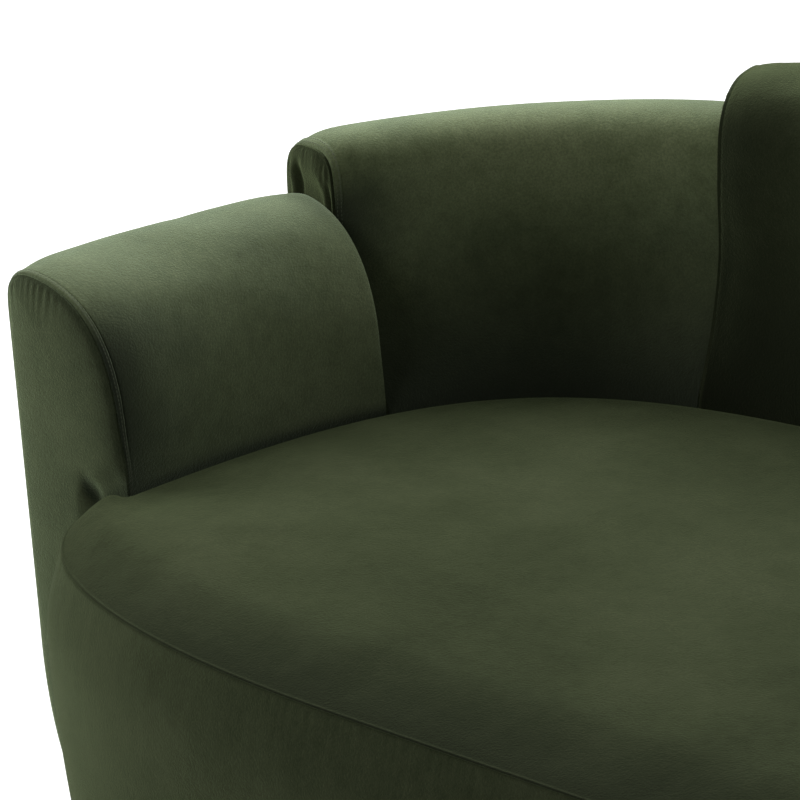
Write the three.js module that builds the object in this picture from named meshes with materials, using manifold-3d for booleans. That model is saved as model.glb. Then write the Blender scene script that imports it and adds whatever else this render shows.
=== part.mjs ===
// A curved sofa, fully upholstered: a D-shaped seat with a barrel-shaped front band, held by five padded
// sections that step up from low arms, over two wings, to a tall centre back.
// Units are millimetres. +Z is up, the front faces -Y, and the origin is on the floor under the middle.
// "Left" is -X, the left-hand side for someone who faces the sofa.

import * as THREE from "three";
import { mergeVertices } from "three/addons/utils/BufferGeometryUtils.js";
import Module from "manifold-3d";

const wasm = await Module();
wasm.setup();

// Overall sizes
const overall_width = 2348;
const overall_depth = 1059;
const arm_height = 649;
const wing_outer_height = 709; // top of a wing beside the arm
const wing_inner_height = 727; // top of a wing beside the centre back
const back_height = 773; // top of the centre back at its ends
const back_crown = 8; // how much higher the centre back is in the middle
const seat_height = 430; // seat surface near the back
const seat_crown = 12; // how much higher the seat is in the middle
const seam_height = 405; // sewn edge round the front of the seat

// Plan of the seat and of the five sections round it
const arm_thickness = 181;
const wing_thickness = 185;
const back_thickness = 207;
const back_curve_reach = 963; // from the centre of the inner line to its furthest point
const back_curve_power = 4.84; // 2 is an ellipse, and more is squarer
const band_bulge = 19; // how far the front band swells beyond its seam
const arm_setback = 257.6; // from the front of the seat to the front of an arm
const arm_length = 347.36; // along the line where it meets the seat
const wing_length = 348.66; // along the same line, and the centre back takes the rest of it
const seat_ear = 36; // how far the seat reaches out in front of an arm
const corner_side_handle = 135; // these two pull the seat's front corner into its rounded shape
const corner_front_handle = 350;
const corner_front_length = 550; // length of the rounded corner along X
const arm_joint_skew = 9; // degrees that the joint between arm and wing is turned from square

// Section of the arms
const arm_lean_rise = 50; // how far above the seat an arm's face starts to lean out
const arm_face_handle = 90;
const arm_crest_handle = 103;
const arm_shoulder_width = 38;
const arm_shoulder_drop = 36;

// Section of the wings and the centre back
const wing_lean = 78; // how far a face leans out above the seat
const wing_shoulder = 42;
const back_lean = 52;
const back_shoulder = 74;
const back_belly = 3; // how much the upper face swells forward
const outer_shoulder_width = 46;
const outer_shoulder_drop = 56;
const outer_lean = 16; // how much further out a section is at its top than near its foot

// Upholstery
const cover_thickness = 3; // velvet with its wadding
const end_foam_thickness = 30;
const fit_gap = 0.3; // between pieces that touch
const side_gap = 1.5; // between the seat and the sections
const tuck_height = 300; // the sections' inner covers are tucked in down to here
const skirt_height = 330; // the seat cover's skirt reaches down to here
const end_round_depth = 10; // how much a section is drawn in at its ends, above the seat
const seam_round_depth = 7; // and how much at the seam of its end panel
const end_round_length = 60;
const end_seam_setback = 5; // from a section's end to that seam
const foot_tuck = 46; // how far the covers curve in at their lower edge
const foot_tuck_height = 190;
const band_foot_tuck = 5;
const band_bulge_height = 310;

// Frame
const underside_height = 50; // lower edge of the upholstery
const board_thickness = 15;
const board_margin = 18;
const rail_thickness = 22;
const rail_height = 240;
const rail_setback = 30; // from the seat's front edge to the front rail
const spine_thickness = 18; // plywood of the sections' frames
const spine_margin = 12;
const spine_drop = 62; // from the top of a section to the top of its frame
const webbing_thickness = 2.5;
const webbing_width = 70;
const webbing_lap = 6; // from the outer face of a rail to the end of a strap
const strap_spacing = 240;
const long_strap_spacing = 190;
const cross_rail_spacing = 520;
const bolt_radius = 4;
const bolt_head_radius = 8;
const bolt_head_length = 6;
const bolt_height = 190;
const runner_thickness = 24;
const runner_inset = 62; // from the edge of the base board to a runner
const glide_radius = 17;
const glide_thickness = 6;
const cut_overrun = 25; // how far cutting shapes run past what they cut
const weld_distance = 0.001; // points nearer than this are one point

// Shares, chosen by hand
const shoulder_share = 0.42; // how far a rounded shoulder's handles stay from its corner
const lean_top_share = 0.5; // part of the height above the seat over which a face leans out
const lean_handle_share = 0.33;
const foot_handle_shares = [0.45, 0.84]; // handles of the curve at a section's foot
const band_handle_share = 0.5; // how far out the band's lower handle is, as a part of its bulge
const front_round_share = 0.34; // part of the way to the middle over which the seat's edge rounds over
const side_round_share = 0.08; // and the same at the sections and beside the arms
const seat_ring_shares = [0.05, 0.15, 0.34, 0.68];
const corner_share = 0.4; // part of the front line's parameter that each rounded corner takes
const front_runner_shares = [0.16, 0.84];
const front_glide_shares = [0.2, 0.5, 0.8];
const rear_glide_shares = [0.12, 0.5, 0.88];
const bolt_shares = [0.3, 0.7];

// Fineness of the facets
const curve_divisions = 4;
const band_divisions = 4;
const corner_divisions = 9;
const glide_divisions = 16;
const bolt_divisions = 8;

// Places worked out from the sizes above
const front_y = -overall_depth / 2;
const seam_y = front_y + band_bulge;
const arm_front_y = front_y + arm_setback;
const inner_half_width = overall_width / 2 - arm_thickness;
const inner_back_y = overall_depth / 2 - back_thickness;
const inner_centre_y = inner_back_y - back_curve_reach;
const front_reach_share = (arm_front_y - inner_centre_y) / back_curve_reach;
const front_width_share = (1 - front_reach_share ** back_curve_power) ** (1 / back_curve_power);
const inner_front_x = inner_half_width * front_width_share;
const seat_middle_y = (seam_y + inner_back_y) / 2;
const seat_reach = inner_back_y - seat_middle_y;
const ear_half_width = inner_half_width + seat_ear;
const upholstery_foot = underside_height + fit_gap;
const rail_top = upholstery_foot + rail_height;
const deck_height = rail_top + webbing_thickness + 2 * fit_gap; // underside of the seat foam
const foam_inset = cover_thickness + fit_gap;
const foot_offset = 2 * fit_gap; // from the inner line to the foot of a section's frame
const board_offset = arm_thickness - outer_lean - foot_tuck - board_margin;
const board_front_inset = band_foot_tuck + board_margin;
const board_bottom = underside_height - board_thickness;
const runner_bottom = glide_thickness + fit_gap;
const runner_top = board_bottom - fit_gap;
const up = new THREE.Vector3(0, 0, 1);

// Curves in plan

// The line where the seat meets the sections, from the left arm's front round to the right arm's.
class InnerLine extends THREE.Curve {
  getPoint(t, target = new THREE.Vector3()) {
    const start = Math.atan2(arm_front_y - inner_centre_y, inner_front_x);
    const angle = start + t * (Math.PI - 2 * start);
    const across = Math.abs(Math.cos(angle)) / inner_half_width;
    const along = Math.sin(angle) / back_curve_reach;
    const reach = (across ** back_curve_power + along ** back_curve_power) ** (-1 / back_curve_power);
    return target.set(-reach * Math.cos(angle), inner_centre_y + reach * Math.sin(angle), 0);
  }
}

// The sewn edge round the front of the seat, from the right arm round to the left one.
class FrontLine extends THREE.Curve {
  getPoint(t, target = new THREE.Vector3()) {
    const corner_end_x = ear_half_width - corner_front_length;
    const corner = new THREE.CubicBezierCurve3(
      new THREE.Vector3(ear_half_width, arm_front_y - fit_gap, 0),
      new THREE.Vector3(ear_half_width, arm_front_y - corner_side_handle, 0),
      new THREE.Vector3(corner_end_x + corner_front_handle, seam_y, 0),
      new THREE.Vector3(corner_end_x, seam_y, 0),
    );
    const from_end = Math.min(t, 1 - t);
    corner.getPoint(Math.min(from_end / corner_share, 1), target);
    const in_straight = Math.max((from_end - corner_share) / (1 / 2 - corner_share), 0);
    const side = t < 1 / 2 ? 1 : -1;
    return target.setX(side * target.x * (1 - in_straight));
  }
}

const inner_line = new InnerLine();
inner_line.arcLengthDivisions = 1000;
const front_line = new FrontLine();
front_line.arcLengthDivisions = 1000;

// A vertical plane across a line: its point, the way along, and the way outwards.
function planeAcross(line, share, skew = 0) {
  const point = line.getPointAt(share);
  const along = line.getTangentAt(share).applyAxisAngle(up, THREE.MathUtils.degToRad(skew));
  return { point, along, outward: new THREE.Vector3(-along.y, along.x, 0), share };
}

// The plane halfway between two others, square to the chord between them.
function planeBetween(first, second) {
  const point = first.point.clone().lerp(second.point, 1 / 2);
  const along = second.point.clone().sub(first.point).normalize();
  return { point, along, outward: new THREE.Vector3(-along.y, along.x, 0) };
}

const placed = (plane, offset, height) =>
  plane.point.clone().addScaledVector(plane.outward, offset).addScaledVector(up, height);

const flat = (point) => new THREE.Vector2(point.x, point.y);

// Solids

function solidOf(geometry) {
  const bare = geometry.clone();
  bare.deleteAttribute("normal");
  bare.deleteAttribute("uv");
  const merged = mergeVertices(bare, weld_distance);
  const vertProperties = new Float32Array(merged.attributes.position.array);
  const triVerts = new Uint32Array(merged.index.array);
  return new wasm.Manifold(new wasm.Mesh({ numProp: 3, vertProperties, triVerts }));
}

function geometryOf(solid) {
  const mesh = solid.getMesh();
  const geometry = new THREE.BufferGeometry();
  geometry.setAttribute("position", new THREE.BufferAttribute(mesh.vertProperties, mesh.numProp));
  geometry.setIndex(new THREE.BufferAttribute(mesh.triVerts, 1));
  geometry.computeVertexNormals();
  return geometry;
}

// Turns points and triangles into a solid whose faces point out.
function solidFrom(points, faces) {
  let volume = 0;
  for (const [a, b, c] of faces) volume += points[a].dot(points[b].clone().cross(points[c]));
  const outward_faces = volume < 0 ? faces.map(([a, b, c]) => [a, c, b]) : faces;
  const geometry = new THREE.BufferGeometry().setFromPoints(points);
  geometry.setIndex(outward_faces.flat());
  return solidOf(geometry);
}

// Joins rings of equal length, and closes the first and last ring with lids cut like lid_outline.
function solidThroughRings(rings, lid_outline) {
  const count = rings[0].length;
  const faces = [];
  for (let ring = 0; ring + 1 < rings.length; ring += 1) {
    for (let corner = 0; corner < count; corner += 1) {
      const a = ring * count + corner;
      const b = ring * count + ((corner + 1) % count);
      faces.push([a, b, b + count], [a, b + count, a + count]);
    }
  }
  const last = (rings.length - 1) * count;
  const runs_clockwise = THREE.ShapeUtils.isClockWise(lid_outline);
  for (const [a, b, c] of THREE.ShapeUtils.triangulateShape([...lid_outline], [])) {
    const [first, second] = runs_clockwise ? [c, b] : [b, c];
    faces.push([a, second, first], [last + a, last + first, last + second]);
  }
  return solidFrom(rings.flat(), faces);
}

// Sweeps an outline of (offset, height) points through a row of planes.
function sweep(planes, outlineAt) {
  const outlines = planes.map(outlineAt);
  const rings = planes.map((plane, index) => outlines[index].map(({ x, y }) => placed(plane, x, y)));
  return solidThroughRings(rings, outlines[0]);
}

// Raises a plan outline from one height to another.
function prism(outline, low, high) {
  const ringAt = (height) => outline.map(({ x, y }) => new THREE.Vector3(x, y, height));
  return solidThroughRings([ringAt(low), ringAt(high)], outline);
}

const rectangle = (low_x, low_y, high_x, high_y) => [
  new THREE.Vector2(low_x, low_y),
  new THREE.Vector2(high_x, low_y),
  new THREE.Vector2(high_x, high_y),
  new THREE.Vector2(low_x, high_y),
];

const slab = (low_x, low_y, low_z, high_x, high_y, high_z) =>
  prism(rectangle(low_x, low_y, high_x, high_y), low_z, high_z);

function mirrored(solid) {
  const geometry = geometryOf(solid).scale(-1, 1, 1);
  const index = geometry.index.array;
  for (let corner = 0; corner < index.length; corner += 3) {
    [index[corner], index[corner + 1]] = [index[corner + 1], index[corner]];
  }
  return solidOf(geometry);
}

// A turned solid whose axis runs outwards from a plane at a given height.
function turned(plane, height, profile, divisions) {
  const lathe_axis = new THREE.Vector3(0, 1, 0);
  const turn = new THREE.Quaternion().setFromUnitVectors(lathe_axis, plane.outward);
  const geometry = new THREE.LatheGeometry(profile, divisions).applyQuaternion(turn);
  const centre = placed(plane, 0, height);
  return solidOf(geometry.translate(centre.x, centre.y, centre.z));
}

// Profiles of the padded sections. Each is an open curve of (offset, height) points: from the tucked-in edge
// of its face, over the top and down the outer side to its foot.

function startOfFace(height) {
  const curve = new THREE.Path();
  curve.moveTo(0, tuck_height);
  curve.lineTo(0, height);
  return curve;
}

// Runs the curve over a rounded corner, from a level line to an upright one.
function roundDown(curve, offset, top, width, drop) {
  if (curve.currentPoint.x < offset - width) curve.lineTo(offset - width, top);
  curve.bezierCurveTo(
    offset - width * shoulder_share, top,
    offset, top - drop * shoulder_share,
    offset, top - drop,
  );
}

// Runs the curve down the outer side and in at the foot.
function runToFoot(curve, thickness) {
  const side = thickness - outer_lean;
  const [upper, lower] = foot_handle_shares;
  curve.lineTo(side, underside_height + foot_tuck_height);
  curve.bezierCurveTo(
    side, underside_height + foot_tuck_height * (1 - upper),
    side - foot_tuck * upper, underside_height + foot_tuck_height * (1 - lower),
    side - foot_tuck, underside_height,
  );
}

function armProfile(top) {
  const lean_start = seat_height + arm_lean_rise;
  const crest = arm_thickness - arm_shoulder_width;
  const curve = startOfFace(lean_start);
  curve.bezierCurveTo(0, lean_start + arm_face_handle, crest - arm_crest_handle, top, crest, top);
  roundDown(curve, arm_thickness, top, arm_shoulder_width, arm_shoulder_drop);
  runToFoot(curve, arm_thickness);
  return curve;
}

function uprightProfile(top, thickness, lean, shoulder) {
  const lean_top = seat_height + (top - seat_height) * lean_top_share;
  const handle = (lean_top - seat_height) * lean_handle_share;
  const curve = startOfFace(seat_height);
  curve.bezierCurveTo(
    lean * lean_handle_share, seat_height + handle,
    lean, lean_top - handle,
    lean, lean_top,
  );
  curve.lineTo(lean - back_belly, (lean_top + top - shoulder) / 2);
  curve.lineTo(lean, top - shoulder);
  curve.bezierCurveTo(
    lean, top - shoulder * shoulder_share,
    lean + shoulder * shoulder_share, top,
    lean + shoulder, top,
  );
  roundDown(curve, thickness, top, outer_shoulder_width, outer_shoulder_drop);
  runToFoot(curve, thickness);
  return curve;
}

// Moves an open outline inwards, to the right of the way it runs, by the same distance everywhere.
function insetProfile(points, distance) {
  return points.map((point, index) => {
    const before = points[index - 1] ?? point;
    const after = points[index + 1] ?? point;
    const way_in = point.clone().sub(before);
    const way_out = after.clone().sub(point);
    if (index === 0) way_in.copy(way_out);
    if (index + 1 === points.length) way_out.copy(way_in);
    const normal_in = new THREE.Vector2(way_in.y, -way_in.x).normalize();
    const normal_out = new THREE.Vector2(way_out.y, -way_out.x).normalize();
    const normal = normal_in.clone().add(normal_out).normalize();
    return point.clone().addScaledVector(normal, distance / normal.dot(normal_in));
  });
}

// The padded sections on the left and in the middle

const arm_joint = arm_length / inner_line.getLength();
const back_joint = (arm_length + wing_length) / inner_line.getLength();

// heightAt and skewAt run from 0 at a section's start to 1 at its end.
const arm = {
  from: 0,
  to: arm_joint,
  thickness: arm_thickness,
  stations: 4,
  heightAt: () => arm_height,
  skewAt: (share) => arm_joint_skew * share,
  profileAt: armProfile,
  rib_shares: [0.15, 0.85],
};
const wing = {
  from: arm_joint,
  to: back_joint,
  thickness: wing_thickness,
  stations: 6,
  heightAt: (share) => THREE.MathUtils.lerp(wing_outer_height, wing_inner_height, share),
  skewAt: (share) => arm_joint_skew * (1 - share),
  profileAt: (top) => uprightProfile(top, wing_thickness, wing_lean, wing_shoulder),
  rib_shares: [0.15, 0.85],
};
const back = {
  from: back_joint,
  to: 1 - back_joint,
  thickness: back_thickness,
  stations: 9,
  heightAt: (share) => back_height + back_crown * Math.sin(Math.PI * share),
  skewAt: () => 0,
  profileAt: (top) => uprightProfile(top, back_thickness, back_lean, back_shoulder),
  rib_shares: [0.04, 0.35, 0.65, 0.96],
};

const lengthOf = (section) => inner_line.getLength() * (section.to - section.from);

// The plane at a share of a section's own length.
function planeIn(section, share) {
  const on_line = THREE.MathUtils.lerp(section.from, section.to, share);
  return { ...planeAcross(inner_line, on_line, section.skewAt(share)), share };
}

// Planes through a section, from end to end. It is drawn in at its ends, and stops end_gap short of them.
function planesThrough(section, end_gap = fit_gap) {
  const length = lengthOf(section);
  const ends = [{ distance: end_gap, drawn_in: end_round_depth }];
  if (end_gap < end_seam_setback) ends.push({ distance: end_seam_setback, drawn_in: seam_round_depth });
  const planeOf = (share, drawn_in) => ({ ...planeIn(section, share), drawn_in });
  const near = ends.map(({ distance, drawn_in }) => planeOf(distance / length, drawn_in));
  const far = ends.map(({ distance, drawn_in }) => planeOf(1 - distance / length, drawn_in));
  const first = end_round_length / length;
  const between = Array.from({ length: section.stations }, (_, index) =>
    planeOf(THREE.MathUtils.lerp(first, 1 - first, index / (section.stations - 1)), 0),
  );
  return [...near, ...between, ...far.reverse()];
}

// A section's profile as points, drawn in by inset, with its foot level with the upholstery's lower edge.
// Its first two points, beside the seat, keep to the inner line.
function profilePoints(section, plane, inset) {
  const top = section.heightAt(plane.share);
  const points = insetProfile(section.profileAt(top).getPoints(curve_divisions), inset + plane.drawn_in);
  points[0].set(inset, tuck_height);
  points[1].x = inset;
  points[points.length - 1].y = upholstery_foot;
  return points;
}

// The space that a section fills, less inset all round.
function fullForm(section, inset) {
  return sweep(planesThrough(section, fit_gap + inset), (plane) => {
    const points = profilePoints(section, plane, inset);
    const foot = foot_offset + inset;
    points.push(new THREE.Vector2(foot, upholstery_foot));
    points.push(new THREE.Vector2(foot, tuck_height - fit_gap));
    return points;
  });
}

// The same space, run out below and towards the seat. It leaves a skin when it is cut from the full form.
function hollowForm(section, inset) {
  return sweep(planesThrough(section, fit_gap + inset), (plane) => {
    const points = profilePoints(section, plane, inset);
    const foot = points[points.length - 1];
    points.push(new THREE.Vector2(foot.x, upholstery_foot - cut_overrun));
    points.push(new THREE.Vector2(-cut_overrun, upholstery_foot - cut_overrun));
    points.push(new THREE.Vector2(-cut_overrun, tuck_height));
    return points;
  });
}

// The part of a section that lies within a distance of one end, as a cutting block.
function endBlock(section, distance, at_far_end) {
  const length = lengthOf(section);
  const shareAt = (along) => (at_far_end ? 1 - along / length : along / length);
  const planes = [0, distance].map((along) => planeIn(section, shareAt(along)));
  const top = back_height + cut_overrun;
  const outline = rectangle(-cut_overrun, 0, section.thickness + cut_overrun, top);
  return sweep(planes, () => outline);
}

// Sweeps an outline through the inside of a section, between its end pads.
function frameSweep(section, clearance, outlineAt) {
  const end = fit_gap + foam_inset + end_foam_thickness + clearance;
  return sweep(planesThrough(section, end), outlineAt);
}

const spineFace = (section) => section.thickness - outer_lean - foot_tuck - foam_inset - spine_margin;

function coverOf(section) {
  return fullForm(section, 0).subtract(hollowForm(section, cover_thickness));
}

function foamOf(section) {
  const outer = spineFace(section) + fit_gap;
  const inner = outer - spine_thickness - 2 * fit_gap;
  const below = upholstery_foot - cut_overrun;
  const low_room = frameSweep(section, -fit_gap, () => rectangle(-cut_overrun, below, outer, tuck_height));
  const slot = frameSweep(section, -fit_gap, (plane) => {
    const top = section.heightAt(plane.share) - spine_drop + fit_gap;
    return rectangle(inner, tuck_height - fit_gap, outer, top);
  });
  return fullForm(section, foam_inset).subtract(low_room).subtract(slot);
}

function frameOf(section) {
  const outer = spineFace(section);
  const shoulder = tuck_height - fit_gap;
  const foot = upholstery_foot;
  const inner = foot_offset + spine_thickness;
  const board = frameSweep(section, 0, () => rectangle(foot_offset, foot, outer, foot + spine_thickness));
  const panel = frameSweep(section, 0, () => rectangle(foot_offset, foot, inner, shoulder));
  const spine = frameSweep(section, 0, (plane) => {
    const top = section.heightAt(plane.share) - spine_drop;
    return rectangle(outer - spine_thickness, foot, outer, top);
  });
  let frame = board.add(panel).add(spine);
  const half = spine_thickness / 2;
  const half_rib = half / lengthOf(section);
  for (const share of section.rib_shares) {
    const planes = [share - half_rib, share + half_rib].map((at) => planeIn(section, at));
    const rib = sweep(planes, () =>
      rectangle(foot_offset + half, foot + half, outer - half, shoulder - half),
    );
    frame = frame.add(rib);
  }
  return frame;
}

// Bolts hold each section to the rail that runs along the inner line

// The plane in which a bolt sits: the middle of the facet nearest to a share of the section.
function boltPlane(section, share) {
  const planes = planesThrough(section);
  const next = planes.findIndex((plane) => plane.share > share);
  return planeBetween(planes[next - 1], planes[next]);
}

// From the bolt's head, inside the rail, to its nut behind the panel of a section's frame.
function boltProfile() {
  const inside = -fit_gap - rail_thickness - fit_gap;
  const outside = foot_offset + spine_thickness + fit_gap;
  return [
    new THREE.Vector2(0, inside - bolt_head_length),
    new THREE.Vector2(bolt_head_radius, inside - bolt_head_length),
    new THREE.Vector2(bolt_head_radius, inside),
    new THREE.Vector2(bolt_radius, inside),
    new THREE.Vector2(bolt_radius, outside),
    new THREE.Vector2(bolt_head_radius, outside),
    new THREE.Vector2(bolt_head_radius, outside + bolt_head_length),
    new THREE.Vector2(0, outside + bolt_head_length),
  ];
}

function boltOf(section, share) {
  return turned(boltPlane(section, share), bolt_height, boltProfile(), bolt_divisions);
}

function boltHole(section, share) {
  const past_head = bolt_head_length + rail_thickness + cut_overrun;
  const past_nut = spine_thickness + cut_overrun;
  const profile = [
    new THREE.Vector2(0, -past_head),
    new THREE.Vector2(bolt_radius + fit_gap, -past_head),
    new THREE.Vector2(bolt_radius + fit_gap, past_nut),
    new THREE.Vector2(0, past_nut),
  ];
  return turned(boltPlane(section, share), bolt_height, profile, bolt_divisions);
}

// Cuts the bolt holes of some sections out of a rail or a frame.
function drilled(solid, sections_here) {
  let result = solid;
  for (const section of sections_here) {
    for (const share of bolt_shares) {
      result = result.subtract(boltHole(section, share));
    }
  }
  return result;
}

// The seat

// Planes along the inner line, left to right, at the same places as the sections' own facets.
function innerPlanes() {
  const inside = (section) => planesThrough(section).slice(1, -1);
  const left = [...inside(arm), ...inside(wing)];
  const flip = ({ point, along, outward }) => ({
    point: point.clone().setX(-point.x),
    along: along.clone().setY(-along.y),
    outward: outward.clone().setX(-outward.x),
  });
  return [...left, ...inside(back), ...left.map(flip).reverse()];
}

// Planes along the front line, right to left, close together round its corners.
function frontPlanes() {
  const corner = Array.from({ length: corner_divisions }, (_, index) => index / corner_divisions);
  const parameters = [...corner.map((share) => share * corner_share), corner_share, 1 / 2];
  const all = [...parameters, ...parameters.slice(0, -1).reverse().map((parameter) => 1 - parameter)];
  return all.map((parameter) => {
    const point = front_line.getPoint(parameter);
    const along = front_line.getTangent(parameter);
    return { point, along, outward: new THREE.Vector3(-along.y, along.x, 0) };
  });
}

// The seat's plan, drawn in by one distance at its front, one at the sections and one before the arms.
function seatPlan(front_inset, side_inset, ear_inset = side_inset) {
  const rear_y = arm_front_y - fit_gap - ear_inset;
  const front = frontPlanes().map((plane) => flat(placed(plane, -front_inset, 0)));
  front[0].y = rear_y;
  front[front.length - 1].y = rear_y;
  const rear = innerPlanes().map((plane) => flat(placed(plane, -side_inset, 0)));
  const stepBeside = (point) => new THREE.Vector2(point.x, rear_y);
  return [...front, stepBeside(rear[0]), ...rear, stepBeside(rear[rear.length - 1])];
}

// The edge over which the seat rounds down. Beside the sections it runs on inside them, where it is cut off.
// outward is the way the band swells, and round the share over which the seat rounds over there.
function seatEdge(inset) {
  const front = frontPlanes().map((plane) => {
    const forward = THREE.MathUtils.smoothstep(arm_front_y - plane.point.y, 0, arm_front_y - seam_y);
    return {
      point: flat(placed(plane, -inset, 0)),
      outward: flat(plane.outward),
      round: THREE.MathUtils.lerp(side_round_share, front_round_share, forward),
    };
  });
  const rear = innerPlanes().map((plane) => ({
    point: flat(placed(plane, seat_ear - inset, 0)),
    outward: new THREE.Vector2(),
    round: side_round_share,
  }));
  return [...front, ...rear];
}

// Points of the front band from its foot to its seam: how far it stands out from the seam, and the height.
function bandProfile() {
  const curve = new THREE.Path();
  const rise = band_bulge_height - underside_height;
  const crest = seam_height - band_bulge_height;
  curve.moveTo(-band_foot_tuck, upholstery_foot);
  curve.bezierCurveTo(
    band_bulge * band_handle_share, underside_height + rise * lean_handle_share,
    band_bulge, band_bulge_height - rise * lean_handle_share,
    band_bulge, band_bulge_height,
  );
  curve.bezierCurveTo(
    band_bulge, band_bulge_height + crest * shoulder_share,
    band_bulge * (1 - shoulder_share), seam_height - crest * shoulder_share,
    0, seam_height,
  );
  return curve.getPoints(band_divisions);
}

// Height of the seat surface at a share of the way from its edge to its middle.
function seatSurface(share, round) {
  const full = seat_height + seat_crown * (1 - (1 - share) ** 2);
  const rise = 1 - (1 - Math.min(share / round, 1)) ** 2;
  return THREE.MathUtils.lerp(seam_height, full, rise);
}

// The whole seat, from the foot of its front band to its domed top, less inset all round.
function seatForm(inset, low = upholstery_foot) {
  const edge = seatEdge(inset);
  const reach = inner_half_width - seat_reach;
  const band = bandProfile().slice(0, -1);
  if (low < upholstery_foot) band.unshift(new THREE.Vector2(band[0].x, low));
  const band_rings = band.map(({ x, y }) =>
    edge.map(({ point, outward }) => {
      const corner = point.clone().addScaledVector(outward, x);
      return new THREE.Vector3(corner.x, corner.y, y);
    }),
  );
  const top_rings = [0, ...seat_ring_shares].map((share) =>
    edge.map(({ point, round }) => {
      const middle = new THREE.Vector2(THREE.MathUtils.clamp(point.x, -reach, reach), seat_middle_y);
      const corner = point.clone().lerp(middle, share);
      return new THREE.Vector3(corner.x, corner.y, seatSurface(share, round) - inset);
    }),
  );
  const form = solidThroughRings([...band_rings, ...top_rings], edge.map(({ point }) => point));
  const plan = seatPlan(-cut_overrun, side_gap + inset, inset);
  return form.intersect(prism(plan, low, seat_height + seat_ear));
}

const wide = overall_width;
const deep = overall_depth;

function seatCover() {
  return seatForm(0).subtract(seatForm(cover_thickness, upholstery_foot - cut_overrun));
}

// The space in front of the arms and below the seam, where the front band is.
function bandRoom(gap) {
  const rear_y = arm_front_y - 2 * cover_thickness;
  return slab(-wide, -deep, 0, wide, rear_y + gap, seam_height + gap);
}

function seatTopCover() {
  const below_skirt = slab(-wide, -deep, 0, wide, deep, skirt_height);
  return seatCover().subtract(bandRoom(fit_gap)).subtract(below_skirt);
}

function seatFrontBand() {
  return seatCover().intersect(bandRoom(0));
}

function seatFoam() {
  const above_deck = slab(-wide, -deep, deck_height, wide, deep, seam_height + wide);
  return seatForm(foam_inset).intersect(above_deck);
}

// The plan of everything behind the front line, drawn in by a distance, and run past the back.
function behindFront(inset) {
  const points = frontPlanes().map((plane) => flat(placed(plane, -inset, 0)));
  points[0].y = arm_front_y;
  points[points.length - 1].y = arm_front_y;
  const side = ear_half_width - inset;
  return [...points, new THREE.Vector2(-side, deep), new THREE.Vector2(side, deep)];
}

function frontBandFoam() {
  const room = slab(-wide, -deep, 0, wide, arm_front_y - fit_gap - foam_inset, rail_top);
  const behind = prism(behindFront(rail_setback - fit_gap), upholstery_foot - cut_overrun, deck_height);
  return seatForm(foam_inset).intersect(room).subtract(behind);
}

// Rails under the seat

function frontRail() {
  const outline = rectangle(-rail_setback - rail_thickness, upholstery_foot, -rail_setback, rail_top);
  return sweep(frontPlanes(), () => outline);
}

function innerRail(planes) {
  const outline = rectangle(-fit_gap - rail_thickness, upholstery_foot, -fit_gap, rail_top);
  return sweep(planes, () => outline);
}

function sideRail() {
  const planes = [...planesThrough(arm).slice(0, -1), ...planesThrough(wing).slice(1)];
  const behind_front_rail = slab(-wide, arm_front_y + fit_gap, 0, 0, deep, deck_height);
  return drilled(innerRail(planes), [arm, wing]).intersect(behind_front_rail);
}

function rearRail() {
  return drilled(innerRail(planesThrough(back)), [back]);
}

// The plan inside the rails.
function insideRails(clearance) {
  const front = rail_setback + rail_thickness + clearance;
  const side = fit_gap + rail_thickness + clearance;
  return seatPlan(front, side, clearance);
}

function crossRail(centre_x) {
  const left = centre_x - rail_thickness / 2;
  const board = slab(left, -deep, upholstery_foot, left + rail_thickness, deep, rail_top);
  return board.intersect(prism(insideRails(fit_gap), 0, deck_height));
}

// The clear stretches between straps that lie evenly about a middle, and beyond the outermost ones.
function clearBetweenStraps(middle, spacing, half_room, far) {
  const count = Math.floor((half_room - webbing_width) / spacing);
  const half = webbing_width / 2;
  const last = 2 * count + 1;
  return Array.from({ length: last + 1 }, (_, index) => {
    const next_strap = middle + (index - count) * spacing;
    const low = index === 0 ? -far : next_strap - spacing + half;
    const high = index === last ? far : next_strap - half;
    return { low, high };
  });
}

// Straps woven into one net, on top of the rails: a sheet from which the clear spaces are cut.
function seatWebbing() {
  const low = rail_top + fit_gap;
  const edge = seatPlan(rail_setback + webbing_lap, fit_gap + webbing_lap, webbing_lap);
  let net = prism(edge, low, low + webbing_thickness);
  for (const row of clearBetweenStraps(seat_middle_y, long_strap_spacing, seat_reach, deep)) {
    for (const column of clearBetweenStraps(0, strap_spacing, inner_half_width, wide)) {
      net = net.subtract(slab(column.low, row.low, 0, column.high, row.high, deck_height));
    }
  }
  return net;
}

// The base under everything

function baseBoard() {
  const front = frontPlanes().map((plane) => flat(placed(plane, -board_front_inset, 0)));
  const arm_edge = arm_front_y + board_margin;
  const rear = innerPlanes().map((plane) => flat(placed(plane, board_offset, 0)));
  front[0].y = arm_edge;
  front[front.length - 1].y = arm_edge;
  rear[0].y = arm_edge;
  rear[rear.length - 1].y = arm_edge;
  return prism([...front, ...rear], board_bottom, underside_height);
}

function innerRunner(planes) {
  const edge = board_offset - runner_inset;
  return sweep(planes, () => rectangle(edge - runner_thickness, runner_bottom, edge, runner_top));
}

function frontRunner() {
  const edge = -board_front_inset - runner_inset;
  const [from, to] = front_runner_shares;
  const steps = 2 * corner_divisions;
  const planes = Array.from({ length: steps + 1 }, (_, index) =>
    planeAcross(front_line, THREE.MathUtils.lerp(from, to, index / steps)),
  );
  return sweep(planes, () => rectangle(edge - runner_thickness, runner_bottom, edge, runner_top));
}

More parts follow.
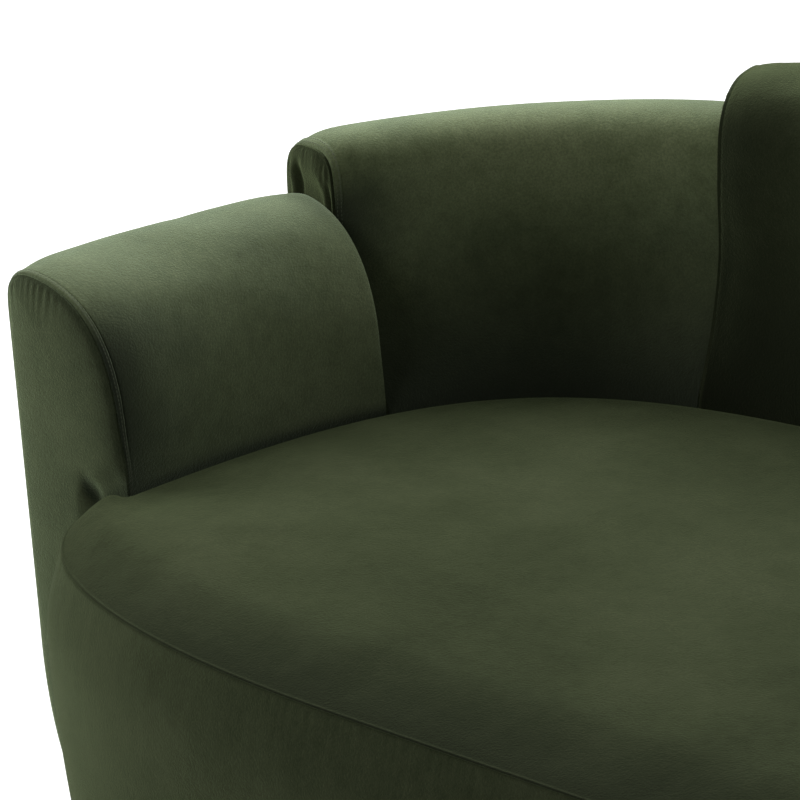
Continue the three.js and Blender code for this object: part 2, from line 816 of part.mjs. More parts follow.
function glideAt(plane, offset) {
  const profile = [
    new THREE.Vector2(0, 0),
    new THREE.Vector2(glide_radius, 0),
    new THREE.Vector2(glide_radius, glide_thickness),
    new THREE.Vector2(0, glide_thickness),
  ];
  const centre = placed(plane, offset, 0);
  const geometry = new THREE.LatheGeometry(profile, glide_divisions).rotateX(Math.PI / 2);
  return solidOf(geometry.translate(centre.x, centre.y, 0));
}

// Materials

const material = (color, roughness, metalness = 0) =>
  new THREE.MeshStandardMaterial({ color, roughness, metalness });
const velvet = () => material("#4a5140", 0.9);
const foam = () => material("#d9cf9f", 0.95);
const plywood = () => material("#c9a878", 0.65);
const black_board = () => material("#1b1a19", 0.7);
const webbing = () => material("#26241f", 0.85);
const steel = () => material("#a9abad", 0.35, 0.9);
const plastic = () => material("#141414", 0.5);

// The whole sofa

const sofa = new THREE.Group();

function addMesh(name, solid, finish) {
  const mesh = new THREE.Mesh(geometryOf(solid), finish());
  mesh.name = name;
  sofa.add(mesh);
}

// Adds a piece that is built on the left, and its mirror image on the right.
function addPair(name, detail, solid, finish) {
  addMesh(`${name}_left_${detail}`, solid, finish);
  addMesh(`${name}_right_${detail}`, mirrored(solid), finish);
}

function addSeat() {
  addMesh("seat_top_cover", seatTopCover(), velvet);
  addMesh("seat_front_band", seatFrontBand(), velvet);
  addMesh("seat_foam", seatFoam(), foam);
  addMesh("front_band_foam", frontBandFoam(), foam);
  addMesh("seat_webbing", seatWebbing(), webbing);
}

// Adds one section with its cover, the end panels named in panels, its foam, its frame and its bolts.
function addSection(name, section, panels, add) {
  let cover = coverOf(section);
  for (const { detail, at_far_end } of panels) {
    const panel = cover.intersect(endBlock(section, end_seam_setback, at_far_end));
    cover = cover.subtract(endBlock(section, end_seam_setback + fit_gap, at_far_end));
    add(name, detail, panel, velvet);
  }
  add(name, "cover", cover, velvet);
  add(name, "foam", foamOf(section), foam);
  add(name, "frame", drilled(frameOf(section), [section]), plywood);
  bolt_shares.forEach((share, index) => add(name, `bolt_${index + 1}`, boltOf(section, share), steel));
}

function addSections() {
  const addMiddle = (name, detail, solid, finish) => addMesh(`${name}_${detail}`, solid, finish);
  addSection("arm", arm, [{ detail: "front_panel", at_far_end: false }], addPair);
  addSection("wing", wing, [{ detail: "end_panel", at_far_end: false }], addPair);
  addSection("back", back, [
    { detail: "left_end_panel", at_far_end: false },
    { detail: "right_end_panel", at_far_end: true },
  ], addMiddle);
}

function addRails() {
  addMesh("front_rail", frontRail(), plywood);
  addPair("rail", "side", sideRail(), plywood);
  addMesh("rear_rail", rearRail(), plywood);
  [-1, 0, 1].forEach((side, index) =>
    addMesh(`cross_rail_${index + 1}`, crossRail(side * cross_rail_spacing), plywood),
  );
}

function addBase() {
  const side_planes = [...planesThrough(arm).slice(2, -1), ...planesThrough(wing).slice(1)];
  addMesh("base_board", baseBoard(), black_board);
  addMesh("runner_front", frontRunner(), black_board);
  addPair("runner", "side", innerRunner(side_planes), black_board);
  addMesh("runner_rear", innerRunner(planesThrough(back)), black_board);
}

function addGlides() {
  const half_runner = runner_thickness / 2;
  const rear_offset = board_offset - runner_inset - half_runner;
  const front_offset = -board_front_inset - runner_inset - half_runner;
  const front = front_glide_shares.map((share) => glideAt(planeAcross(front_line, share), front_offset));
  const rear = rear_glide_shares.map((share) => glideAt(planeIn(back, share), rear_offset));
  [...front, ...rear].forEach((glide, index) => addMesh(`glide_${index + 1}`, glide, plastic));
  addPair("glide", "arm", glideAt(planeIn(arm, 1 / 2), rear_offset), plastic);
  addPair("glide", "wing", glideAt(planeIn(wing, 1 / 2), rear_offset), plastic);
}

addSeat();
addSections();
addRails();
addBase();
addGlides();

export default sofa;
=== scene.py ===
# Looks of a curved velvet sofa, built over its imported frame. Sizes are millimetres until a mesh is made.

import math
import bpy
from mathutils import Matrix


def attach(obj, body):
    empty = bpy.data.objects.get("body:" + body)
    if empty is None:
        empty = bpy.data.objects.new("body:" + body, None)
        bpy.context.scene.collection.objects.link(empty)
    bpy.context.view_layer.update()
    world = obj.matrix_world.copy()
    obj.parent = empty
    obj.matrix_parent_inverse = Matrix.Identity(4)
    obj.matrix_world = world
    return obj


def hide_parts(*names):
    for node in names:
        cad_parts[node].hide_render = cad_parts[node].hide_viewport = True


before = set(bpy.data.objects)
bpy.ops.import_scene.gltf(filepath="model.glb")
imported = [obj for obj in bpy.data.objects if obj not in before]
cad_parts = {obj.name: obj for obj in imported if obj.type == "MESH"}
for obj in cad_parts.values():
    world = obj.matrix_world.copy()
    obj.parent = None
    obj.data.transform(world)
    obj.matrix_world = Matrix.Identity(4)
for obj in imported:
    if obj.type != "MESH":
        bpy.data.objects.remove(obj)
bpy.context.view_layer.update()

from types import SimpleNamespace

import bpy
import numpy as np
from mathutils import Matrix, Vector

MM = 0.001

# The sofa's sizes, the same as in the part's source
overall_width = 2348
overall_depth = 1059
arm_height = 649
wing_outer_height = 709
wing_inner_height = 727
back_height = 773
back_crown = 8
seat_height = 430
seat_crown = 12
seam_height = 405
arm_thickness = 181
wing_thickness = 185
back_thickness = 207
back_curve_reach = 963
back_curve_power = 4.84
band_bulge = 19
arm_setback = 257.6
arm_length = 347.36
wing_length = 348.66
seat_ear = 36
corner_side_handle = 135
corner_front_handle = 350
corner_front_length = 550
arm_joint_skew = 9
arm_lean_rise = 50
arm_face_handle = 90
arm_crest_handle = 103
arm_shoulder_width = 38
arm_shoulder_drop = 36
wing_lean = 78
wing_shoulder = 42
back_lean = 52
back_shoulder = 74
back_belly = 3
outer_shoulder_width = 46
outer_shoulder_drop = 56
outer_lean = 16
fit_gap = 0.3
side_gap = 1.5
tuck_height = 300
skirt_height = 330
end_round_length = 60
foot_tuck = 46
foot_tuck_height = 190
band_foot_tuck = 5
band_bulge_height = 310
underside_height = 50
shoulder_share = 0.42
lean_top_share = 0.5
lean_handle_share = 0.33
foot_handle_shares = (0.45, 0.84)
band_handle_share = 0.5

front_y = -overall_depth / 2
seam_y = front_y + band_bulge
arm_front_y = front_y + arm_setback
inner_half_width = overall_width / 2 - arm_thickness
inner_back_y = overall_depth / 2 - back_thickness
inner_centre_y = inner_back_y - back_curve_reach
ear_half_width = inner_half_width + seat_ear

# Padding and sewing details
wing_fullness = 4  # how much higher the padding stands at the wing's ends than in its middle
end_round_power = 2.2
seam_depth = 2.5  # from a section's end to the seam of its end panel
welt_width = 9.5  # raised band along such a seam, at full size
welt_height = 1.7
stitch_rows = (5.5, 10.5)  # from a section's end, beside a full-sized band
stitch_pitch = 4.6
stitch_length = 3.1
stitch_radius = 0.42
stitch_rise = 0.25  # of the middle of a stitch over its ends
stitch_sink = 0.1
stitch_sides = 5
stitch_rings = ((-0.5, 0.35), (-0.25, 1), (0.25, 1), (0.5, 0.35))  # places and sizes along a stitch
stitches_tucked = 7  # columns that a row of stitches goes on for behind a neighbour
pucker_pitch = 15
plain_edge_depth = 3  # how an edge without a band is rounded off
plain_edge_reach = 3
seat_hold = 80  # height over the seat in which a section's face keeps to its line
long_swell = (1.1, 190)  # depth and size of the covers' slow unevenness
short_swell = (0.5, 75)
seam_shade_reach = 60  # how far from a seam a cover is painted darker, as painted shade
seat_shade_reach = 9
deepest_shade = 0.95
turned_row = 14  # the row of a cover that its turned-in edge reaches back to
turned_share = 0.97  # size of that edge beside the row's

# Spacing of the points of the meshes
column_step = 4.5
row_step = 8
panel_step = 3.6
seam_stations = (0, 0.3, 0.8, 1.5, 2.3, 3, 4.5, 6.3, 7.3, 8, 8.8, 9.7, 11, 13, 16)  # from a seam
rounding_stations = (22.5, 27.5, 34, 42, 51, 60)  # from a section's end
band_stations = (0, 1, 2, 3.2, 4.6, 6.5, 9, 12, 16, 21, 27, 34, 42)  # down from the front band's seam

# End panels
dome_reach = 22  # from the edge of a panel to its full bulge
dome_rim = 1.2
panel_sink = 0.8  # where a panel lies behind a neighbour
panel_thickness = 4

# Seat and front band
crown_reach = 420
front_round_reach = 140
corner_round_reach = 66
ear_round_reach = 36
rear_groove = 11
rear_groove_width = 14
seam_ridge = 1.1
seat_rows = 110
seat_tucked_share = 0.02
band_thickness = 15
band_seam_groove = 1.2
band_gather_depth = 0.8
band_gather_pitch = 11
band_swell_depth = 0.2
band_swell_pitch = 37

# Cloth
cloth_frames = 20
cloth_pressure = 0.35
cloth_reach = 12  # the furthest that a point may move
cloth_growth_share = 0.004  # how much larger the cloth is cut
cloth_trim_share = 0.9  # part of the mean swelling that is taken off again
cloth_kept_share = 0.22  # part of the change that is kept, because the covers are pulled tight

# Colours of the velvet, and the tint of its sheen
velvet_dark = (0.012, 0.015, 0.006)
velvet_mid = (0.022, 0.027, 0.012)
velvet_pale = (0.036, 0.042, 0.021)
cover_tint = (0.79, 0.98, 0.66)
panel_tint = (0.77, 0.98, 0.55)
deep_tint = (0.77, 0.98, 0.48)

# The room. The floor glows for rays from the camera only, so that it looks white.
softbox_size = 2.0
softbox_distance = 4.0
light_target = (-0.4, 0, 0.45)
ambient = 0.03
floor_side = 30
floor_glow = 0.45  # beside the sofa, and 1 far from it
floor_glow_near = 1.5
floor_glow_far = 5


# Small tools

def smooth(value, low, high):
    share = np.clip((value - low) / (high - low), 0, 1)
    return share * share * (3 - 2 * share)


def bezier(a, b, c, d, count=24):
    t = np.linspace(0, 1, count + 1)[:, None]
    a, b, c, d = (np.array(p, float) for p in (a, b, c, d))
    return (1 - t) ** 3 * a + 3 * t * (1 - t) ** 2 * b + 3 * t * t * (1 - t) * c + t ** 3 * d


def lengths_along(points):
    steps = np.linalg.norm(np.diff(points, axis=0), axis=1)
    return np.concatenate([[0], np.cumsum(steps)])


def at_lengths(points, lengths):
    along = lengths_along(points)
    return np.stack([np.interp(lengths, along, points[:, k]) for k in range(points.shape[1])], axis=1)


def resampled(points, count):
    return at_lengths(points, np.linspace(0, lengths_along(points)[-1], count))


def softened(points, reach):
    """Rounds off the corners of an evenly spaced line, and keeps its ends."""
    kernel = np.exp(-0.5 * (np.arange(-3 * reach, 3 * reach + 1) / reach) ** 2)
    kernel /= kernel.sum()
    before = 2 * points[0] - points[3 * reach:0:-1]
    after = 2 * points[-1] - points[-2:-3 * reach - 2:-1]
    padded = np.concatenate([before, points, after])
    return np.stack([np.convolve(padded[:, k], kernel, "valid") for k in range(points.shape[1])], axis=1)


def normals_of(points):
    """Normals of an open line in a plane, to the left of the way it runs."""
    way = np.gradient(points, axis=0)
    way /= np.linalg.norm(way, axis=1)[:, None]
    return np.stack([-way[:, 1], way[:, 0]], axis=1)


def distance_to(points, line):
    """Distance of each point to a line, and how far along the line the nearest place is."""
    along = lengths_along(line)
    best = np.full(len(points), np.inf)
    place = np.zeros(len(points))
    for k in range(len(line) - 1):
        step = line[k + 1] - line[k]
        size = step @ step
        share = np.clip(((points - line[k]) @ step) / max(size, 1e-9), 0, 1)
        gap = np.linalg.norm(points - line[k] - share[:, None] * step, axis=1)
        nearer = gap < best
        best[nearer] = gap[nearer]
        place[nearer] = along[k] + share[nearer] * math.sqrt(size)
    return best, place


def waves(place, pitch, seed):
    """Uneven waves along a line, from -1 to 1."""
    turn = 2 * np.pi * place / pitch
    slow = np.sin(turn * 0.37 + seed) + np.sin(turn * 0.21 + 2.3 * seed)
    return np.sin(turn + 1.3 * slow + seed) * (0.6 + 0.2 * slow)


def undulation(points, size, seed):
    """Slow unevenness in space, from about -1 to 1."""
    x, y, z = (points[..., k] / size for k in range(3))
    one = np.sin(x * 2.1 + seed) * np.sin(y * 1.7 + 2 * seed) + np.sin(z * 2.4 + 3 * seed + 0.8 * np.sin(x * 1.3))
    two = np.sin(x * 3.7 - y * 2.9 + seed) * np.sin(z * 4.1 + x + seed)
    return 0.4 * one + 0.3 * two


# Lines of the plan

def inner_line_points():
    front_share = (arm_front_y - inner_centre_y) / back_curve_reach
    front_x = inner_half_width * (1 - front_share ** back_curve_power) ** (1 / back_curve_power)
    start = math.atan2(arm_front_y - inner_centre_y, front_x)
    angle = np.linspace(start, math.pi - start, 4001)
    across = np.abs(np.cos(angle)) / inner_half_width
    along = np.sin(angle) / back_curve_reach
    reach = (across ** back_curve_power + along ** back_curve_power) ** (-1 / back_curve_power)
    return np.stack([-reach * np.cos(angle), inner_centre_y + reach * np.sin(angle)], axis=1)


def front_line_points():
    """From the left arm round to the right one."""
    end_x = ear_half_width - corner_front_length
    corner = bezier(
        (-ear_half_width, arm_front_y - fit_gap),
        (-ear_half_width, arm_front_y - corner_side_handle),
        (-end_x - corner_front_handle, seam_y),
        (-end_x, seam_y),
        200,
    )
    other = corner[::-1] * np.array([-1, 1])
    return np.concatenate([corner, other])


inner_line = inner_line_points()
inner_length = lengths_along(inner_line)[-1]
front_line = front_line_points()


def plane_at(share, skew=0):
    """A point of the inner line, the way along it, and the way outwards, turned by a skew in degrees."""
    length = share * inner_length
    point = at_lengths(inner_line, [length])[0]
    ahead, behind = at_lengths(inner_line, [min(length + 1, inner_length), max(length - 1, 0)])
    way = (ahead - behind) / np.linalg.norm(ahead - behind)
    turn = math.radians(skew)
    cos, sin = math.cos(turn), math.sin(turn)
    along = np.array([way[0] * cos - way[1] * sin, way[0] * sin + way[1] * cos])
    return SimpleNamespace(point=point, along=along, outward=np.array([-along[1], along[0]]))


def placed(plane, flat_points):
    """Puts (offset, height) points into space in a plane."""
    plan = plane.point + flat_points[:, :1] * plane.outward
    return np.column_stack([plan, flat_points[:, 1]])


# Profiles of the padded sections: open lines of (offset, height) points, from the edge tucked in beside the seat,
# over the top and down the outer side to the foot.

def to_foot(thickness):
    side = thickness - outer_lean
    upper, lower = foot_handle_shares
    return bezier(
        (side, underside_height + foot_tuck_height),
        (side, underside_height + foot_tuck_height * (1 - upper)),
        (side - foot_tuck * upper, underside_height + foot_tuck_height * (1 - lower)),
        (side - foot_tuck, underside_height + fit_gap),
    )


def round_down(offset, top, width, drop):
    return bezier(
        (offset - width, top),
        (offset - width * shoulder_share, top),
        (offset, top - drop * shoulder_share),
        (offset, top - drop),
    )


def arm_profile(top):
    start = seat_height + arm_lean_rise
    crest = arm_thickness - arm_shoulder_width
    face = bezier((0, start), (0, start + arm_face_handle), (crest - arm_crest_handle, top), (crest, top))
    shoulder = round_down(arm_thickness, top, arm_shoulder_width, arm_shoulder_drop)
    return np.concatenate([[[0, tuck_height]], face, shoulder[1:], to_foot(arm_thickness)])


def upright_profile(top, thickness, lean, shoulder):
    lean_top = seat_height + (top - seat_height) * lean_top_share
    handle = (lean_top - seat_height) * lean_handle_share
    face = bezier(
        (0, seat_height),
        (lean * lean_handle_share, seat_height + handle),
        (lean, lean_top - handle),
        (lean, lean_top),
    )
    belly = [[lean - back_belly, (lean_top + top - shoulder) / 2]]
    rise = bezier(
        (lean, top - shoulder),
        (lean, top - shoulder * shoulder_share),
        (lean + shoulder * shoulder_share, top),
        (lean + shoulder, top),
    )
    outer = round_down(thickness, top, outer_shoulder_width, outer_shoulder_drop)
    return np.concatenate([[[0, tuck_height]], face, belly, rise, outer, to_foot(thickness)])


def section_end(depths, band=0, gathers=0, top_power=end_round_power):
    """An end of a section, drawn in by three depths: on its face, over its top and on its outer side. The band is
    the size of the raised band beside its seam, 0 without one. Gathers run away from a pulled seam."""
    return SimpleNamespace(depths=depths, band=band, gathers=gathers, top_power=top_power)


# Each section's tones say how its face is painted paler than its outer side (darker on the back), as painted
# light and shade, and how dark and how far up its face is painted above the seat, as painted shade.
arm = SimpleNamespace(
    start=0, length=arm_length, seed=1.0,
    top_at=lambda share: arm_height,
    skew_at=lambda share: arm_joint_skew * share,
    profile=arm_profile,
    near_end=section_end((10, 10, 9), band=0.65, gathers=0.75),
    far_end=section_end((4, 5, 6)),
    apex_shift=3, face_light=2.3, low_shade=0.2, low_shade_share=0.4,
)
wing = SimpleNamespace(
    start=arm_length, length=wing_length, seed=2.0,
    top_at=lambda share: (
        wing_outer_height + (wing_inner_height - wing_outer_height) * share + wing_fullness * (1 - 2 * share) ** 2
    ),
    skew_at=lambda share: arm_joint_skew * (1 - share),
    profile=lambda top: upright_profile(top, wing_thickness, wing_lean, wing_shoulder),
    near_end=section_end((17, 20, 1), band=0.6, gathers=0.75, top_power=6),
    far_end=section_end((2, 1.5, 3)),
    apex_shift=5, face_light=3.2, low_shade=1, low_shade_share=0.9,
)
back = SimpleNamespace(
    start=arm_length + wing_length, length=inner_length - 2 * (arm_length + wing_length), seed=3.0,
    top_at=lambda share: back_height + back_crown * math.sin(math.pi * share),
    skew_at=lambda share: 0,
    profile=lambda top: upright_profile(top, back_thickness, back_lean, back_shoulder),
    near_end=section_end((9, 7, 8), gathers=0.6),
    far_end=section_end((9, 7, 8), gathers=0.6),
    apex_shift=6, face_light=0.8, low_shade=1, low_shade_share=1.1,
)


def skin_at(section, distance):
    """A section's plane at a distance from its start, and its softened profile there."""
    share = distance / section.length
    plane = plane_at((section.start + distance) / inner_length, section.skew_at(share))
    line = section.profile(section.top_at(share))
    return plane, softened(resampled(line, section.columns), 3)


for each in (arm, wing, back):
    each.columns = int(lengths_along(each.profile(each.top_at(0.5)))[-1] / column_step)


def drawn_in(skin, end, gap):
    """How much each point of a profile is drawn in at a distance from one end of its section."""
    normal = normals_of(skin)
    face, top, outer = end.depths
    nearness = 1 - np.clip(gap / end_round_length, 0, 1)
    sides = face * np.minimum(normal[:, 0], 0) ** 2 + outer * np.maximum(normal[:, 0], 0) ** 2
    above = top * np.maximum(normal[:, 1], 0) ** 2
    return sides * nearness ** end_round_power + above * nearness ** end.top_power


def free_of_seat(skin):
    """0 beside the seat, where a section keeps to its line, and 1 well above it and on the outer side."""
    on_face = np.arange(len(skin)) < np.argmax(skin[:, 1])
    return np.where(on_face, smooth(skin[:, 1], seat_height, seat_height + seat_hold), 1)


def in_sight(skin, neighbour):
    """1 where a profile clears the section beside it, and 0 where that one covers it."""
    return smooth(outside_of(skin, neighbour), 1, 9)


def welt(gap):
    """Height of the raised band beside a seam, rounded off towards the seam, with a groove on its other side."""
    rounding = 2.4
    rim_depth = 2.6
    groove_depth = 0.5
    groove_width = 1.6
    slope_start = 0.8
    slope_end = 2.6
    rim = 1 - np.sqrt(np.clip(1 - (1 - np.clip((gap - seam_depth) / rounding, 0, 1)) ** 2, 0, 1))
    raised = welt_height * (1 - smooth(gap, welt_width + slope_start, welt_width + slope_end))
    groove = -groove_depth * np.exp(-((gap - welt_width - slope_end) / groove_width) ** 2)
    return raised + groove - rim_depth * rim


def puckers(place, from_seam, seed):
    """Small uneven gathers that run away from a seam."""
    reach = 13 + 8 * np.sin(place / 29 + seed)
    strength = 0.5 + 0.5 * np.sin(place / 41 + 2 * seed)
    fading = np.exp(-max(from_seam, 0) / reach) * smooth(from_seam, 0, 4)
    return strength * waves(place, pucker_pitch, seed) * fading


def station_distances(section):
    near = np.concatenate([np.array(seam_stations) + seam_depth, np.array(rounding_stations)])
    count = int((section.length - 2 * near[-1]) / row_step) + 2
    middle = np.linspace(near[-1], section.length - near[-1], count)
    return np.concatenate([near, middle[1:-1], section.length - near[::-1]])


def end_shift(skin, section, end, neighbour, gap):
    """How far a profile's points move outwards at a distance from one end of their section."""
    shift = -drawn_in(skin, end, gap)
    if gap > end_round_length:
        return shift
    in_the_open = in_sight(skin, neighbour)
    if end.band:
        shift = shift + welt(seam_depth + (gap - seam_depth) / end.band) * in_the_open
    else:
        shift = shift - plain_edge_depth * math.exp(-gap / plain_edge_reach)
    from_seam = gap - welt_width * end.band
    return shift + end.gathers * puckers(lengths_along(skin), from_seam, section.seed) * in_the_open


def section_grid(section, near_neighbour, far_neighbour):
    """Points of a section's cover, one row for each station."""
    rows = []
    stations = station_distances(section)
    for distance in stations:
        plane, skin = skin_at(section, distance)
        shift = end_shift(skin, section, section.near_end, near_neighbour, distance)
        shift = shift + end_shift(skin, section, section.far_end, far_neighbour, section.length - distance)
        shift = shift * free_of_seat(skin)
        skin = skin + normals_of(skin) * shift[:, None]
        rows.append(placed(plane, skin))
    grid = np.array(rows)
    bumps = long_swell[0] * undulation(grid, long_swell[1], section.seed)
    bumps = bumps + short_swell[0] * undulation(grid, short_swell[1], section.seed + 5)
    weight = np.where(np.arange(grid.shape[1]) > grid.shape[1] / 2, 1, free_of_seat(grid[0][:, 1:]))
    grid = grid + surface_normals(grid) * (bumps * weight)[..., None]
    from_end = np.minimum(stations, section.length - stations)
    from_foot = lengths_along(grid[0])[-1] - lengths_along(grid[0])
    free = smooth(from_end, welt_width, 3 * welt_width)[:, None] * (weight * smooth(from_foot, 10, 60))[None]
    return blown_out(grid, stations, 1 - free)


def surface_normals(grid):
    down = np.gradient(grid, axis=0)
    across = np.gradient(grid, axis=1)
    normal = np.cross(across, down)
    return normal / np.maximum(np.linalg.norm(normal, axis=2), 1e-9)[..., None]


# Meshes

def grid_faces(rows, columns, wrap=False):
    faces = []
    last = columns if wrap else columns - 1
    for row in range(rows - 1):
        for column in range(last):
            a = row * columns + column
            b = row * columns + (column + 1) % columns
            faces.append((a, b, b + columns, a + columns))
    return faces


def tube_faces(rings, sides):
    """Faces of a tube of closed rings, capped at both ends."""
    faces = grid_faces(rings, sides, wrap=True)
    faces.append(tuple(range(sides))[::-1])
    faces.append(tuple((rings - 1) * sides + k for k in range(sides)))
    return faces


def ring_faces(rows, columns):
    """Faces of a grid whose last row joins its first."""
    faces = []
    for row in range(rows):
        here = row * columns
        below = (row + 1) % rows * columns
        for column in range(columns - 1):
            faces.append((here + column, here + column + 1, below + column + 1, below + column))
    return faces


def make_piece(name, points, faces, material, tone=None):
    mesh = bpy.data.meshes.new(name)
    mesh.from_pydata([tuple(p) for p in np.asarray(points) * MM], [], faces)
    mesh.validate()
    mesh.update()
    piece = bpy.data.objects.new(name, mesh)
    bpy.context.scene.collection.objects.link(piece)
    mesh.polygons.foreach_set("use_smooth", [True] * len(mesh.polygons))
    mesh.set_sharp_from_angle(angle=math.radians(50))
    mesh.materials.append(material)
    # The tone attribute carries painted light and painted shade into the velvet's colour; 1 where nothing is
    # painted.
    tones = np.ones(len(points)) if tone is None else np.ravel(tone)
    mesh.attributes.new("tone", "FLOAT", "POINT").data.foreach_set("value", tones)
    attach(piece, "root")
    return piece


def flipped(faces):
    return [tuple(reversed(face)) for face in faces]


def make_both(before, after, points, faces, material, tone=None):
    """A piece on the left and its mirror image on the right, with the side in the middle of their names."""
    left = make_piece(f"{before}_left_{after}", points, faces, material, tone)
    mirrored = np.asarray(points) * np.array([-1, 1, 1])
    right = make_piece(f"{before}_right_{after}", mirrored, flipped(faces), material, tone)
    return left, right


def cover_tone(section, grid):
    """How pale a cover is painted: its face and top paler than outside on the arms and wings and darker on the
    back, as painted light, and darker beside its seams, low on its face above the seat and in the contact line
    along the seat, as painted shade."""
    stations = station_distances(section)
    beside = np.exp(-(stations / seam_shade_reach) ** 1.4)
    if section is back:
        beside = np.maximum(beside, beside[::-1])
    height = grid[..., 2]
    top = height.max(axis=1, keepdims=True)
    low = 1 - smooth(height, seat_height, seat_height + section.low_shade_share * (top - seat_height))
    from_apex = lengths_along(grid[0]) - lengths_along(grid[0])[np.argmax(height[0])]
    outside = smooth(from_apex, -10, 60)
    below_top = smooth(top - height, 6, 70)
    # Painted shade beside the seams, low on the face above the seat and in the contact line along the seat, and
    # painted light on the faces of the arms and wings.
    painted_shade = (1 - outside) * below_top * np.maximum(beside[:, None], section.low_shade * low)
    at_seat = (1 - outside) * np.exp(-np.maximum(height - seat_height, 0) / seat_shade_reach)
    paleness = section.face_light + (1 - section.face_light) * outside
    return paleness * (1 - deepest_shade * np.maximum(painted_shade, at_seat))


def turned_in(grid, row):
    """The line that a cover's edge is turned in to behind an end panel."""
    return turned_share * grid[[row]] + (1 - turned_share) * grid[row].mean(axis=0)


def section_form(grid, tone, panels_at_both_ends=False):
    """A section's cover as a closed form: the skin, the underside, and end walls, set back behind a panel."""
    tone = np.concatenate([tone[:1], tone])
    parts = [turned_in(grid, turned_row), grid]
    if panels_at_both_ends:
        tone = np.concatenate([tone, tone[-1:]])
        parts.append(turned_in(grid, -1 - turned_row))
    grid = np.concatenate(parts)
    rows, columns = grid.shape[:2]
    tone = np.concatenate([tone, np.ones((rows, 2))], axis=1)
    foot = grid[:, -1:]
    tuck = grid[:, :1]
    inner_foot = tuck * [1, 1, 0] + [0, 0, underside_height + fit_gap]
    closed = np.concatenate([grid, foot * 0.5 + inner_foot * 0.5, inner_foot], axis=1)
    return closed.reshape(-1, 3), tube_faces(rows, columns + 2), tone.ravel()


# Cloth: the covers are blown out a little from their sewn edges, as stuffing does, and the change is kept
# as a smooth field over the grid.

def simulated(points, faces, held):
    """How far each point moves when a cloth with its held points fixed is put under pressure."""
    mesh = bpy.data.meshes.new("cloth")
    mesh.from_pydata((points * MM).tolist(), [], faces)
    body = bpy.data.objects.new("cloth", mesh)
    bpy.context.scene.collection.objects.link(body)
    group = body.vertex_groups.new(name="held")
    for index in np.nonzero(held > 0)[0]:
        group.add([int(index)], float(held[index]), "REPLACE")
    modifier = body.modifiers.new("cloth", "CLOTH")
    cloth = modifier.settings
    cloth.vertex_group_mass = group.name
    cloth.use_pressure = True
    cloth.uniform_pressure_force = cloth_pressure
    cloth.effector_weights.gravity = 0
    cloth.shrink_min = -cloth_growth_share
    cloth.quality = 6
    cloth.tension_stiffness = 40
    cloth.compression_stiffness = 40
    cloth.shear_stiffness = 20
    cloth.bending_stiffness = 12
    modifier.collision_settings.use_collision = False
    modifier.point_cache.frame_end = cloth_frames
    for frame_number in range(1, cloth_frames + 1):
        bpy.context.scene.frame_set(frame_number)
    result = body.evaluated_get(bpy.context.evaluated_depsgraph_get()).to_mesh()
    moved = np.empty(3 * len(points))
    result.vertices.foreach_get("co", moved)
    bpy.data.objects.remove(body)
    bpy.data.meshes.remove(mesh)
    bpy.context.scene.frame_set(1)
    return moved.reshape(-1, 3) / MM - points


def curve_through(values, known, wanted):
    """Values along the first axis, moved from known places to wanted ones by smooth curves."""
    slopes = np.gradient(values, known, axis=0)
    index = np.clip(np.searchsorted(known, wanted) - 1, 0, len(known) - 2)
    span = known[index + 1] - known[index]
    shape = (-1,) + (1,) * (values.ndim - 1)
    t = ((wanted - known[index]) / span).reshape(shape)
    span = span.reshape(shape)
    start, end = values[index], values[index + 1]
    return ((2 * t ** 3 - 3 * t ** 2 + 1) * start + (t ** 3 - 2 * t ** 2 + t) * span * slopes[index]
            + (3 * t ** 2 - 2 * t ** 3) * end + (t ** 3 - t ** 2) * span * slopes[index + 1])


def blown_out(grid, stations, held):
    """A grid after its cloth simulation, run on every second row and column."""
    row_picks = np.unique(np.append(np.arange(0, grid.shape[0], 2), grid.shape[0] - 1))
    column_picks = np.unique(np.append(np.arange(0, grid.shape[1], 2), grid.shape[1] - 1))
    coarse = grid[np.ix_(row_picks, column_picks)]
    coarse_held = held[np.ix_(row_picks, column_picks)]
    faces = grid_faces(*coarse.shape[:2])
    moved = simulated(coarse.reshape(-1, 3), faces, coarse_held.ravel()).reshape(coarse.shape)
    size = np.linalg.norm(moved, axis=2, keepdims=True)
    moved = moved * np.minimum(1, cloth_reach / np.maximum(size, 1e-6))
    free = 1 - coarse_held
    swell = (moved * surface_normals(coarse)).sum(axis=2)
    mean = (swell * free).sum() / free.sum()
    moved = cloth_kept_share * (moved - surface_normals(coarse) * (mean * cloth_trim_share * free)[..., None])
    columns = np.arange(grid.shape[1])
    wide = curve_through(np.swapaxes(moved, 0, 1), column_picks, columns)
    return grid + curve_through(np.swapaxes(wide, 0, 1), stations[row_picks], stations)


# End panels

def crease_depth(points, below, folds):
    """Depth of a row of folds, each with a ridge beside it."""
    crease = np.zeros(len(points))
    for each in folds:
        across = points[:, 0] - each.offset - each.lean * below
        shape = np.exp(-(across / each.width) ** 2)
        shape -= 0.55 * np.exp(-((across - 2.1 * each.width) / (1.3 * each.width)) ** 2)
        fading = np.exp(-(below / each.reach) ** 1.6) * smooth(below, each.start - 1, each.start + 24)
        crease += each.depth * shape * fading
    return crease


